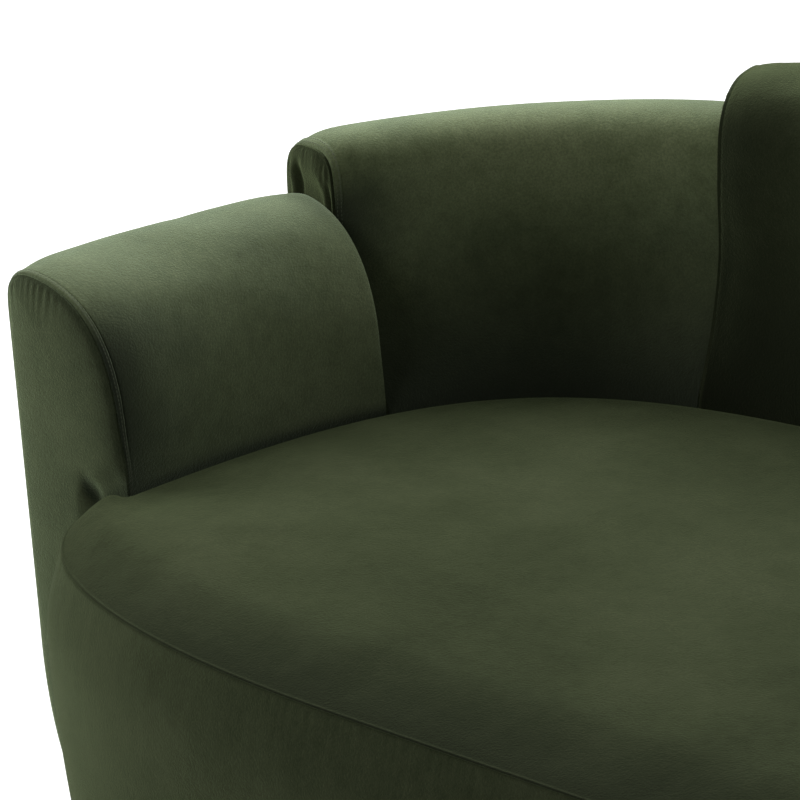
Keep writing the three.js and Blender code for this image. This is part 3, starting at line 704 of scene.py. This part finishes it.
def panel_grid(section, neighbour, bulge, folds):
    """A domed panel that closes a section's start, and its tone. It stays flat where the neighbour covers it."""
    plane, skin = skin_at(section, seam_depth)
    depth = (drawn_in(skin, section.near_end, seam_depth) + 0.6) * free_of_seat(skin)
    skin = skin - normals_of(skin) * depth[:, None]
    apex = int(np.argmax(skin[:, 1])) + section.apex_shift
    low = np.array([[0.6, underside_height + fit_gap]])
    inner = np.concatenate([low, skin[:apex + 1]])
    outer = skin[apex:][::-1]
    rows = int(lengths_along(outer)[-1] / panel_step)
    inner = resampled(inner, rows)
    outer = resampled(outer, rows)
    columns = int(section.profile(section.top_at(0))[:, 0].max() / panel_step)
    share = np.linspace(0, 1, columns)[None, :, None]
    flat = inner[:, None] * (1 - share) + outer[:, None] * share
    points = flat.reshape(-1, 2)
    edge_gap, _ = distance_to(points, skin)
    outside = outside_of(points, neighbour)
    exposed = smooth(outside, 0, 30)
    dome = bulge * (1 - np.exp(-edge_gap / dome_reach)) + dome_rim * smooth(edge_gap, 1.5, 5) - dome_rim
    below = np.maximum(top_over(skin, points[:, 0]) - points[:, 1], 0)
    crease = crease_depth(points, below, folds) * smooth(edge_gap, 0.5, 6)
    push = (dome + panel_sink) * exposed - panel_sink - crease
    # Painted shade: the panel is painted darker near its edge, and on an arm also in its tuck and where it meets
    # the seat, as contact shadow.
    tone = 1 - 0.6 * np.exp(-edge_gap / 14)
    if section is arm:
        hollow = arm_tuck(points)
        push = push - hollow
        tone = tone * (1 - smooth(hollow, 0, 3)) * (1 - 0.9 * np.exp(-outside / 5))
    space = placed(plane, points)
    space[:, :2] -= push[:, None] * plane.along
    return space.reshape(rows, columns, 3), tone


def top_over(skin, offsets):
    """Height of a profile's upper side over each offset."""
    skin = skin[skin[:, 1] > seat_height]
    apex = int(np.argmax(skin[:, 1]))
    heights = []
    for side in (skin[:apex + 1], skin[apex:]):
        order = np.argsort(side[:, 0])
        heights.append(np.interp(offsets, side[order, 0], side[order, 1], left=0, right=0))
    return np.maximum(*heights)


# The small tuck at the foot of an arm's front panel, where the seat pulls it in: a wide hollow and a narrow one
arm_tucks = (
    SimpleNamespace(offset=53, height=419, lean=0.4, width=10, reach=17, depth=4.4),
    SimpleNamespace(offset=46, height=424, lean=0.2, width=5, reach=9, depth=1.2),
)


def arm_tuck(points):
    hollow = 0
    for tuck in arm_tucks:
        across = points[:, 0] - tuck.offset
        up = points[:, 1] - tuck.height
        upright = math.sqrt(1 - tuck.lean * tuck.lean)
        along = across * tuck.lean + up * upright
        side = across * upright - up * tuck.lean
        hollow = hollow + tuck.depth * np.exp(-(side / tuck.width) ** 2) * np.exp(-(along / tuck.reach) ** 2)
    return hollow


def outside_of(points, outline):
    """How far points lie outside a closed outline, and zero inside it."""
    if outline is None:
        return np.full(len(points), 1e3)
    gap, _ = distance_to(points, np.concatenate([outline, outline[:1]]))
    inside = np.zeros(len(points), bool)
    for a, b in zip(outline, np.roll(outline, -1, axis=0)):
        crosses = (a[1] > points[:, 1]) != (b[1] > points[:, 1])
        rise = b[1] - a[1] if abs(b[1] - a[1]) > 1e-9 else 1e-9
        at = a[0] + (points[:, 1] - a[1]) * (b[0] - a[0]) / rise
        inside ^= crosses & (points[:, 0] < at)
    return np.where(inside, 0, gap)


def fold(offset, width, depth, reach, lean, start=-24):
    """A fold that hangs from a panel's top: its place, its size, how far down it goes, and where it starts."""
    return SimpleNamespace(offset=offset, width=width, depth=depth, reach=reach, lean=lean, start=start)


def uneven_folds(first, last, pitch, width, depth, reach, seed):
    """A row of small gathers with uneven places, depths and lengths."""
    folds = []
    for k in range(int((last - first) / pitch) + 1):
        stir = math.sin(12.9 * (k + seed))
        swing = math.sin(7.1 * (k + seed) + 1)
        place = first + pitch * (k + 0.33 * stir)
        size = (width * (1 + 0.3 * swing), depth * (0.7 + 0.6 * swing), reach * (1 + 0.5 * stir))
        folds.append(fold(place, *size, 0.08 * swing))
    return folds


# Materials

class Graph:
    """A node tree in the making."""

    def __init__(self, tree):
        self.nodes = tree.nodes
        self.links = tree.links

    def fill(self, node, values):
        """Sets a node's inputs, and links those whose value is an output of another node."""
        for name, value in values.items():
            if isinstance(value, bpy.types.NodeSocket):
                self.links.new(value, node.inputs[name])
            else:
                node.inputs[name].default_value = value
        return node

    def add(self, kind, values, **settings):
        node = self.nodes.new("ShaderNode" + kind)
        for name, setting in settings.items():
            setattr(node, name, setting)
        return self.fill(node, values)

    def where(self):
        return self.add("TexCoord", {}).outputs["Object"]

    def noise(self, where, scale, detail, roughness=0.5):
        values = {"Vector": where, "Scale": scale, "Detail": detail, "Roughness": roughness}
        return self.add("TexNoise", values).outputs["Fac"]

    def ramp(self, value, stops):
        ramp = self.add("ValToRGB", {"Fac": value})
        elements = ramp.color_ramp.elements
        while len(elements) < len(stops):
            elements.new(0.5)
        for element, (position, color) in zip(elements, stops):
            element.position = position
            element.color = (*color, 1)
        return ramp.outputs["Color"]

    def bump(self, height, strength, distance):
        return self.add("Bump", {"Height": height, "Strength": strength, "Distance": distance})

    def mixed(self, share, first, second, blend="MIX"):
        values = {"Factor": share, "A": first, "B": second}
        return self.add("Mix", values, data_type="RGBA", blend_type=blend).outputs["Result"]

    def spread(self, value, low, high):
        """A value from 0 to 1, spread between two others."""
        return self.add("MapRange", {"Value": value, "To Min": low, "To Max": high}).outputs["Result"]


def new_material(name):
    material = bpy.data.materials.new(name)
    material.use_nodes = True
    graph = Graph(material.node_tree)
    return material, graph, graph.nodes["Principled BSDF"]


def velvet(name, depth, sheen, tint):
    """Short-piled velvet: dark seen straight on, pale at a glancing angle, with soft marks where the pile lies.
    Each piece has its own copy, with a depth of colour, sheen and tint set to how bright it looks under the
    light: lit and shaded copies of one velvet, as painted light and shade."""
    material, graph, shader = new_material(name)
    where = graph.where()
    lay = graph.noise(where, 5.5, 3, 0.55)
    mottle = graph.noise(where, 60, 4, 0.65)
    pile = graph.noise(where, 420, 3, 0.75)
    dark, mid, pale = (tuple(depth * c for c in color) for color in (velvet_dark, velvet_mid, velvet_pale))
    by_lay = graph.ramp(lay, [(0.35, dark), (0.5, mid), (0.68, pale)])
    by_mottle = graph.ramp(mottle, [(0.3, dark), (0.7, pale)])
    color = graph.mixed(0.35, by_lay, by_mottle)
    fleck = graph.ramp(pile, [(0.35, (0.55, 0.55, 0.55)), (0.65, (1.0, 1.0, 1.0))])
    flecked = graph.mixed(0.8, color, fleck, "MULTIPLY")
    # The colour is scaled by the tone attribute, which holds painted light on faces and painted shade beside
    # seams, in contact lines and above the seat.
    tone = graph.add("Attribute", {}, attribute_name="tone").outputs["Fac"]
    toned = graph.add("VectorMath", {}, operation="SCALE")
    graph.fill(toned, {"Vector": flecked, "Scale": tone})
    soft = graph.bump(mottle, 0.14, 0.002)
    fine = graph.fill(graph.bump(pile, 0.75, 0.0013), {"Normal": soft.outputs["Normal"]})
    graph.fill(shader, {
        "Base Color": toned.outputs["Vector"],
        "Roughness": 0.88,
        "Specular IOR Level": 0.05,
        "Sheen Weight": sheen,
        "Sheen Roughness": 0.5,
        "Sheen Tint": (*tint, 1),
        "Normal": fine.outputs["Normal"],
    })
    return material


def speckled(name, speck_size, dark, pale, roughness, bump):
    """Thread or plastic, with specks from a noise of some scale, detail and roughness."""
    material, graph, shader = new_material(name)
    speck = graph.noise(graph.where(), *speck_size)
    graph.fill(shader, {
        "Base Color": graph.ramp(speck, [dark, pale]),
        "Roughness": roughness,
        "Normal": graph.bump(speck, *bump).outputs["Normal"],
    })
    return material


def grained(name, dark, pale, scale, roughness, strength):
    """Wood with its grain along X."""
    material, graph, shader = new_material(name)
    stretched = graph.add("Mapping", {"Vector": graph.where(), "Scale": (1, 12, 12)}).outputs["Vector"]
    grain = graph.noise(stretched, scale, 6, 0.6)
    pores = graph.noise(stretched, scale * 9, 3, 0.7)
    graph.fill(shader, {
        "Base Color": graph.ramp(grain, [(0.3, dark), (0.7, pale)]),
        "Roughness": graph.spread(pores, roughness - 0.1, roughness + 0.1),
        "Normal": graph.bump(pores, strength, 0.0008).outputs["Normal"],
    })
    return material


def woven():
    material, graph, shader = new_material("webbing_weave")
    where = graph.where()
    heights = []
    for direction in ("X", "Y"):
        values = {"Vector": where, "Scale": 150, "Distortion": 0.4}
        heights.append(graph.add("TexWave", values, bands_direction=direction).outputs["Fac"])
    weave = graph.mixed(0.5, *heights)
    graph.fill(shader, {
        "Base Color": graph.ramp(weave, [(0.25, (0.012, 0.011, 0.009)), (0.8, (0.05, 0.046, 0.036))]),
        "Roughness": 0.85,
        "Normal": graph.bump(weave, 0.5, 0.001).outputs["Normal"],
    })
    return material


def brushed_steel():
    material, graph, shader = new_material("zinc_steel")
    cloud = graph.noise(graph.where(), 180, 4)
    graph.fill(shader, {
        "Base Color": graph.ramp(cloud, [(0.3, (0.40, 0.41, 0.43)), (0.7, (0.62, 0.63, 0.64))]),
        "Metallic": 1,
        "Roughness": graph.spread(cloud, 0.28, 0.45),
    })
    return material


# The room: camera, floor, lights

def make_camera():
    position = Vector((2.2971, -3.2904, 2.1401))
    forward = Vector((-0.6501, 0.6785, -0.3420)).normalized()
    roll = math.radians(-2.4)
    right = forward.cross(Vector((0, 0, 1))).normalized()
    upward = right.cross(forward)
    x_axis = right * math.cos(roll) + upward * math.sin(roll)
    y_axis = upward * math.cos(roll) - right * math.sin(roll)
    data = bpy.data.cameras.new("camera")
    data.sensor_width = 36
    data.lens = 207
    data.clip_end = 200
    camera = bpy.data.objects.new("camera", data)
    turn = Matrix((x_axis, y_axis, -forward)).transposed()
    camera.matrix_world = Matrix.Translation(position) @ turn.to_4x4()
    bpy.context.scene.collection.objects.link(camera)
    bpy.context.scene.camera = camera


def seen_directly(graph):
    """1 for rays that come from the camera, from a reflection or through glass."""
    path = graph.add("LightPath", {}).outputs
    total = path["Is Camera Ray"]
    for name in ("Is Glossy Ray", "Is Transmission Ray"):
        total = graph.add("Math", {0: total, 1: path[name]}, operation="MAXIMUM").outputs["Value"]
    return total


def make_world():
    world = bpy.data.worlds.new("world")
    bpy.context.scene.world = world
    world.use_nodes = True
    graph = Graph(world.node_tree)
    strength = graph.spread(seen_directly(graph), ambient, 1)
    graph.fill(graph.nodes["Background"], {"Color": (1, 1, 1, 1), "Strength": strength})


def make_floor():
    mesh = bpy.data.meshes.new("floor")
    reach = floor_side
    corners = [(-reach, -reach, 0), (reach, -reach, 0), (reach, reach, 0), (-reach, reach, 0)]
    mesh.from_pydata(corners, [], [(0, 1, 2, 3)])
    floor = bpy.data.objects.new("floor", mesh)
    bpy.context.scene.collection.objects.link(floor)
    material, graph, shader = new_material("floor")
    where = graph.where()
    tone = graph.noise(where, 3, 3)
    distance = graph.add("VectorMath", {0: where}, operation="LENGTH").outputs["Value"]
    ranges = {"From Min": floor_glow_near, "From Max": floor_glow_far, "To Min": floor_glow, "To Max": 1}
    glow = graph.add("MapRange", {"Value": distance, **ranges}).outputs["Result"]
    shown = graph.add("Math", {0: glow, 1: seen_directly(graph)}, operation="MULTIPLY")
    graph.fill(shader, {
        "Base Color": graph.ramp(tone, [(0.3, (0.80, 0.80, 0.80)), (0.7, (0.82, 0.82, 0.82))]),
        "Roughness": 0.9,
        "Specular IOR Level": 0.1,
        "Emission Color": (1, 1, 1, 1),
        "Emission Strength": shown.outputs["Value"],
    })
    mesh.materials.append(material)


def softbox(name, side, height, power):
    """A round softbox that faces the sofa. Its angles are round from the front, towards the right, and up."""
    data = bpy.data.lights.new(name, "AREA")
    data.shape = "DISK"
    data.size = softbox_size
    data.energy = power
    light = bpy.data.objects.new(name, data)
    side, height = math.radians(side), math.radians(height)
    away = Vector((math.sin(side) * math.cos(height), -math.cos(side) * math.cos(height), math.sin(height)))
    light.location = Vector(light_target) + softbox_distance * away
    light.rotation_mode = "QUATERNION"
    light.rotation_quaternion = (-away).to_track_quat("-Z", "Y")
    bpy.context.scene.collection.objects.link(light)


make_camera()
make_world()
make_floor()
softbox("right_rear", side=125, height=28, power=36)
softbox("rear", side=180, height=50, power=25)
softbox("rear_left", side=215, height=50, power=74)
softbox("left", side=280, height=40, power=46)
softbox("low_left", side=300, height=18, power=34)
softbox("front_left", side=340, height=40, power=30)

# Lit and shaded copies of one velvet: the depth, sheen and tint of each are set to how bright that piece looks
# under the light, as painted light and shade.
velvet_cover = velvet("velvet", depth=2.0, sheen=0.95, tint=cover_tint)
velvet_back = velvet("velvet_back", depth=1.6, sheen=0.38, tint=deep_tint)
velvet_panel = velvet("velvet_panel", depth=2.0, sheen=0.54, tint=panel_tint)
velvet_seat = velvet("velvet_seat", depth=1.5, sheen=0.165, tint=deep_tint)
velvet_band = velvet("velvet_band", depth=1.1, sheen=0.24, tint=deep_tint)
thread_tones = ((0.3, (0.045, 0.056, 0.028)), (0.7, (0.085, 0.10, 0.055)))
thread_material = speckled("thread", (1500, 2), *thread_tones, roughness=0.6, bump=(0.4, 0.0003))


# Sections

def outline_of(section, distance):
    """Closed outline of a section's end."""
    _, skin = skin_at(section, distance)
    foot = np.array([[skin[-1, 0], underside_height], [0, underside_height]])
    return np.concatenate([skin, foot])


ear_outline = np.array([
    [-60, 0],
    [seat_ear + 8, 0],
    [seat_ear + 8, seat_height - 24],
    [12, seat_height],
    [-60, seat_height],
])
arm_outline = outline_of(arm, arm.length)
wing_outline = outline_of(wing, wing.length)
arm_folds = uneven_folds(60, 170, pitch=9.5, width=2.2, depth=1.2, reach=21, seed=0.4)
wing_folds = uneven_folds(98, 150, pitch=7.5, width=2.3, depth=2.8, reach=30, seed=1.7) + [
    fold(152, width=5.5, depth=6.5, reach=120, lean=0.06, start=10),
    fold(172, width=4, depth=2.0, reach=80, lean=0.02, start=0),
    fold(108, width=5, depth=4.0, reach=120, lean=-0.3, start=16),
]
back_folds = uneven_folds(60, 190, pitch=12, width=2.8, depth=1.2, reach=22, seed=2.6)


def stitch_points(centre, way, out):
    """Rings of points along one stitch, which is thinner at its ends."""
    turns = np.linspace(0, 2 * np.pi, stitch_sides, endpoint=False)
    side_way = np.cross(way, out)
    points = []
    for at, size in stitch_rings:
        middle = centre + way * at * stitch_length + out * (stitch_rise * size - stitch_sink)
        for turn in turns:
            offset = math.cos(turn) * side_way + math.sin(turn) * out
            points.append(middle + offset * stitch_radius * size)
    return points


def stitches(grid, section, neighbour):
    """Short raised threads along rows beside a seam, one mesh."""
    stations = station_distances(section)
    points, faces = [], []
    one_stitch = tube_faces(len(stitch_rings), stitch_sides)
    normals = surface_normals(grid)
    for from_end in stitch_rows:
        distance = seam_depth + (from_end - seam_depth) * section.near_end.band
        row = int(np.argmin(np.abs(stations - distance)))
        line = grid[row]
        along = lengths_along(line)
        seen = in_sight(skin_at(section, distance)[1], neighbour) > 0.5
        low_end = np.argmax(seen & (line[:, 2] > seat_height - 5))
        if neighbour is not None:
            low_end -= stitches_tucked
        marks = np.arange(along[low_end], along[-1] - 20, stitch_pitch)
        centres = at_lengths(line, marks)
        ways = at_lengths(line, marks + 1) - centres
        ways /= np.linalg.norm(ways, axis=1)[:, None]
        outs = np.stack([np.interp(marks, along, normals[row, :, k]) for k in range(3)], axis=1)
        outs /= np.linalg.norm(outs, axis=1)[:, None]
        for centre, way, out in zip(centres, ways, outs):
            faces += [tuple(len(points) + k for k in face) for face in one_stitch]
            points += stitch_points(centre, way, out)
    return np.array(points), faces


def panel_form(grid):
    """Points and faces of a panel grid closed into a thin padded form."""
    rows, columns = grid.shape[:2]
    behind = grid - surface_normals(grid)[rows // 2, columns // 2] * panel_thickness
    points = np.concatenate([grid.reshape(-1, 3), behind.reshape(-1, 3)])
    size = rows * columns
    front = grid_faces(rows, columns)
    faces = front + [tuple(size + k for k in reversed(face)) for face in front]
    rim = list(range(columns))
    rim += [row * columns + columns - 1 for row in range(1, rows)]
    rim += [(rows - 1) * columns + k for k in range(columns - 2, -1, -1)]
    rim += [row * columns for row in range(rows - 2, 0, -1)]
    for a, b in zip(rim, rim[1:] + rim[:1]):
        faces.append((b, a, a + size, b + size))
    return points, faces


def build_both_sides(name, section, grid, panel, panel_material, panel_node, threads):
    """The covers, end panels and stitches of an arm or a wing, on the left and on the right."""
    points, faces, tone = section_form(grid, cover_tone(section, grid))
    covers = make_both(name, "upholstery", points, faces, velvet_cover, tone)
    panel_points, panel_tone = panel
    panels = make_both(name, "end", *panel_form(panel_points), panel_material, np.tile(panel_tone, 2))
    make_both(name, "stitches", *threads, thread_material)
    for side, cover, end in zip(("left", "right"), covers, panels):
        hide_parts(f"{name}_{side}_cover", f"{name}_{side}_foam")
        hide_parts(f"{name}_{side}_{panel_node}")


def build_arm():
    grid = section_grid(arm, None, wing_outline)
    panel = panel_grid(arm, ear_outline, bulge=7.5, folds=arm_folds)
    build_both_sides("arm", arm, grid, panel, velvet_panel, "front_panel", stitches(grid, arm, None))


def build_wing():
    grid = section_grid(wing, arm_outline, None)
    panel = panel_grid(wing, arm_outline, bulge=7, folds=wing_folds)
    build_both_sides("wing", wing, grid, panel, velvet_back, "end_panel", stitches(grid, wing, arm_outline))


def build_back():
    grid = section_grid(back, wing_outline, wing_outline)
    points, faces, tone = section_form(grid, cover_tone(back, grid), panels_at_both_ends=True)
    cover = make_piece("back_upholstery", points, faces, velvet_back, tone)
    panel, tone = panel_grid(back, wing_outline, bulge=8, folds=back_folds)
    panels = make_both("back", "end", *panel_form(panel), velvet_back, np.tile(tone, 2))
    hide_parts("back_cover", "back_foam")
    for side, end in zip(("left", "right"), panels):
        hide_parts(f"back_{side}_end_panel")


# The seat

def seat_lines():
    """Matching points of the seat's front edge and of its edge beside the sections, from left to right."""
    count = int(lengths_along(front_line)[-1] / column_step)
    front = resampled(front_line, count)
    inset = inner_line - side_gap * normals_of(inner_line)
    rear_y = arm_front_y - 2 * side_gap
    inset = inset[inset[:, 1] > rear_y]
    first_x = inset[0, 0]
    ear = (front[:, 0] < first_x) & (front[:, 1] < 0)
    ear_count = int(ear.sum())
    ear_edge = np.linspace([front[0, 0], rear_y], [first_x, rear_y], ear_count)
    corner = np.array([[first_x, rear_y]])
    middle = np.concatenate([corner, inset, corner * [-1, 1]])
    middle = resampled(middle, count - 2 * ear_count + 2)
    rear = np.concatenate([ear_edge, middle[1:-1], ear_edge[::-1] * [-1, 1]])
    front[0] = [front[0, 0], rear_y]
    front[-1] = [front[-1, 0], rear_y]
    return front, rear


def seat_top_heights(points, from_front, from_rear):
    """Heights of the seat's top: rounded at the front, domed, and pressed in where the sections meet it."""
    forward = smooth(arm_front_y - points[:, 1], 0, arm_front_y - seam_y)
    to_centre = smooth(np.abs(points[:, 0]), ear_half_width - 200, ear_half_width - 400)
    side_reach = ear_round_reach + (corner_round_reach - ear_round_reach) * to_centre
    reach = side_reach + (front_round_reach - side_reach) * forward
    rise = 1 - (1 - np.clip(from_front / reach, 0, 1)) ** 2.2
    nearest = np.minimum(from_front, from_rear)
    crown = seat_crown * (1 - (1 - np.clip(nearest / crown_reach, 0, 1)) ** 2)
    height = seam_height + (seat_height - seam_height + crown) * rise
    height -= rear_groove * np.clip(1 - from_rear / rear_groove_width, 0, 1) ** 2
    height += seam_ridge * (1 - smooth(from_front, 1.2, 3.6)) * smooth(from_front, 0, 1.0)
    return height


def edge_shares(count, power=1.9):
    """Shares from 0 to 1 that lie closer together near both ends."""
    t = np.linspace(0, 1, count)
    return 0.5 * (np.where(t < 0.5, (2 * t) ** power, 2 - (2 - 2 * t) ** power))


def level_row(plan, level):
    return np.column_stack([plan, np.full(len(plan), level)])


def seat_tone(plan, from_front, from_rear):
    """Painted shade: darker over the rounding of the front edge, and in the contact line where the sections meet
    the seat.
    """
    at_front = smooth(arm_front_y - plan[:, 1], 60, arm_front_y - seam_y)
    painted_shade = 0.8 * at_front * (1 - smooth(from_front, 20, 240))
    return (1 - painted_shade) * (1 - np.exp(-from_rear / 7))


def build_seat():
    front, rear = seat_lines()
    shares = edge_shares(seat_rows)
    plan = front[None] * (1 - shares[:, None, None]) + rear[None] * shares[:, None, None]
    plan = plan.reshape(-1, 2)
    from_front, _ = distance_to(plan, front)
    from_rear, _ = distance_to(plan, rear)
    heights = seat_top_heights(plan, from_front, from_rear)
    top = np.column_stack([plan, heights]).reshape(len(shares), len(front), 3)
    bumps = 1.6 * undulation(top, 260, 4.2) + 0.6 * undulation(top, 90, 1.3)
    gap = np.minimum(from_front, from_rear).reshape(bumps.shape)
    top[..., 2] += bumps * smooth(gap, 4, 60)
    inside = slice(4, -4)
    top[:, inside] = blown_out(top[:, inside], shares, 1 - smooth(gap, 6, 40)[:, inside])
    wall = [level_row(rear, level) for level in (410, 380, skirt_height)]
    centre = np.array([0, -90])
    tucked = front + (centre - front) * seat_tucked_share
    floor = [
        level_row(rear * 0.97 + centre * 0.03, skirt_height - 2),
        level_row(tucked, skirt_height - 2),
        level_row(tucked, seam_height - 12),
    ]
    rows = np.concatenate([top, np.array(wall), np.array(floor)])
    tone = np.ones(rows.shape[:2]).ravel()
    tone[:len(plan)] = seat_tone(plan, from_front, from_rear)
    faces = ring_faces(*rows.shape[:2])
    seat = make_piece("seat_cushion", rows.reshape(-1, 3), faces, velvet_seat, tone)
    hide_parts("seat_top_cover", "seat_foam")


def band_profile():
    rise = band_bulge_height - underside_height
    crest = seam_height - band_bulge_height
    upper = bezier(
        (0, seam_height),
        (band_bulge * (1 - shoulder_share), seam_height - crest * shoulder_share),
        (band_bulge, band_bulge_height + crest * shoulder_share),
        (band_bulge, band_bulge_height),
    )
    lower = bezier(
        (band_bulge, band_bulge_height),
        (band_bulge, band_bulge_height - rise * lean_handle_share),
        (band_bulge * band_handle_share, underside_height + rise * lean_handle_share),
        (-band_foot_tuck, underside_height + fit_gap),
    )
    line = np.concatenate([upper, lower[1:]])
    near = np.array(band_stations)
    total = lengths_along(line)[-1]
    spaced = np.concatenate([near, np.linspace(near[-1], total, int((total - near[-1]) / 9))[1:]])
    return at_lengths(line, spaced), spaced


def band_gathers(place, down):
    """The front band's seam groove, and the patchy gathers and slow swells that hang from the seam."""
    groove = -band_seam_groove * np.exp(-(down / 2.0) ** 2)
    patchy = 0.25 + 0.75 * smooth(np.sin(place / 97 + 0.6) + 0.5 * np.sin(place / 41), -0.2, 1.2)
    gathers = band_gather_depth * patchy * waves(place, band_gather_pitch, 0.7)
    gathers = gathers * smooth(down, 1, 6) * math.exp(-(down / 26) ** 1.3)
    swells = band_swell_depth * waves(place, band_swell_pitch, 2.1)
    swells = swells * smooth(down, 4, 30) * math.exp(-(down / 90) ** 1.5)
    return groove + gathers + swells


def build_band():
    line = resampled(front_line, int(lengths_along(front_line)[-1] / panel_step))
    outward = -normals_of(line)
    profile, spaced = band_profile()
    place = lengths_along(line)
    rows = []
    for (out, height), down in zip(profile, spaced):
        plan = line + outward * (out + band_gathers(place, down))[:, None]
        rows.append(level_row(plan, height - 1.2 * math.exp(-down / 2)))
    face = np.array(rows)
    bumps = 0.9 * undulation(face, 150, 2.7) * smooth(spaced, 5, 60)[:, None]
    face[..., :2] += outward * bumps[..., None]
    behind = line - outward * band_thickness
    inner = [level_row(behind, level) for level in (underside_height + fit_gap, 170, 290, seam_height - 14)]
    rows = np.concatenate([face, np.array(inner)])
    for end in (0, -1):
        rows[:, end, 1] = np.minimum(rows[:, end, 1], arm_front_y - side_gap)
    count, columns = rows.shape[:2]
    faces = ring_faces(count, columns)
    faces.append(tuple(row * columns for row in range(count)))
    faces.append(tuple(row * columns + columns - 1 for row in reversed(range(count))))
    band = make_piece("front_band", rows.reshape(-1, 3), flipped(faces), velvet_band)
    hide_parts("seat_front_band", "front_band_foam")


build_arm()
build_wing()
build_back()
build_seat()
build_band()


# Better finishes for the CAD nodes that stay

def finish_frame():
    plywood = grained("birch_plywood", (0.42, 0.30, 0.17), (0.60, 0.46, 0.29), 9, 0.6, 0.15)
    black = grained("black_stained_wood", (0.006, 0.006, 0.005), (0.020, 0.018, 0.016), 12, 0.5, 0.25)
    weave = woven()
    steel = brushed_steel()
    black_tones = ((0.35, (0.010, 0.010, 0.010)), (0.75, (0.03, 0.03, 0.03)))
    plastic = speckled("glide_plastic", (240, 5, 0.6), *black_tones, roughness=0.5, bump=(0.2, 0.0004))
    for name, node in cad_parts.items():
        if node.hide_render:
            continue
        material = plywood
        if name == "base_board" or name.startswith("runner"):
            material = black
        elif name.startswith("glide"):
            material = plastic
        elif "bolt" in name:
            material = steel
        elif name == "seat_webbing":
            material = weave
        for slot in node.material_slots:
            slot.material = material


finish_frame()
bpy.context.scene.view_settings.view_transform = "Standard"
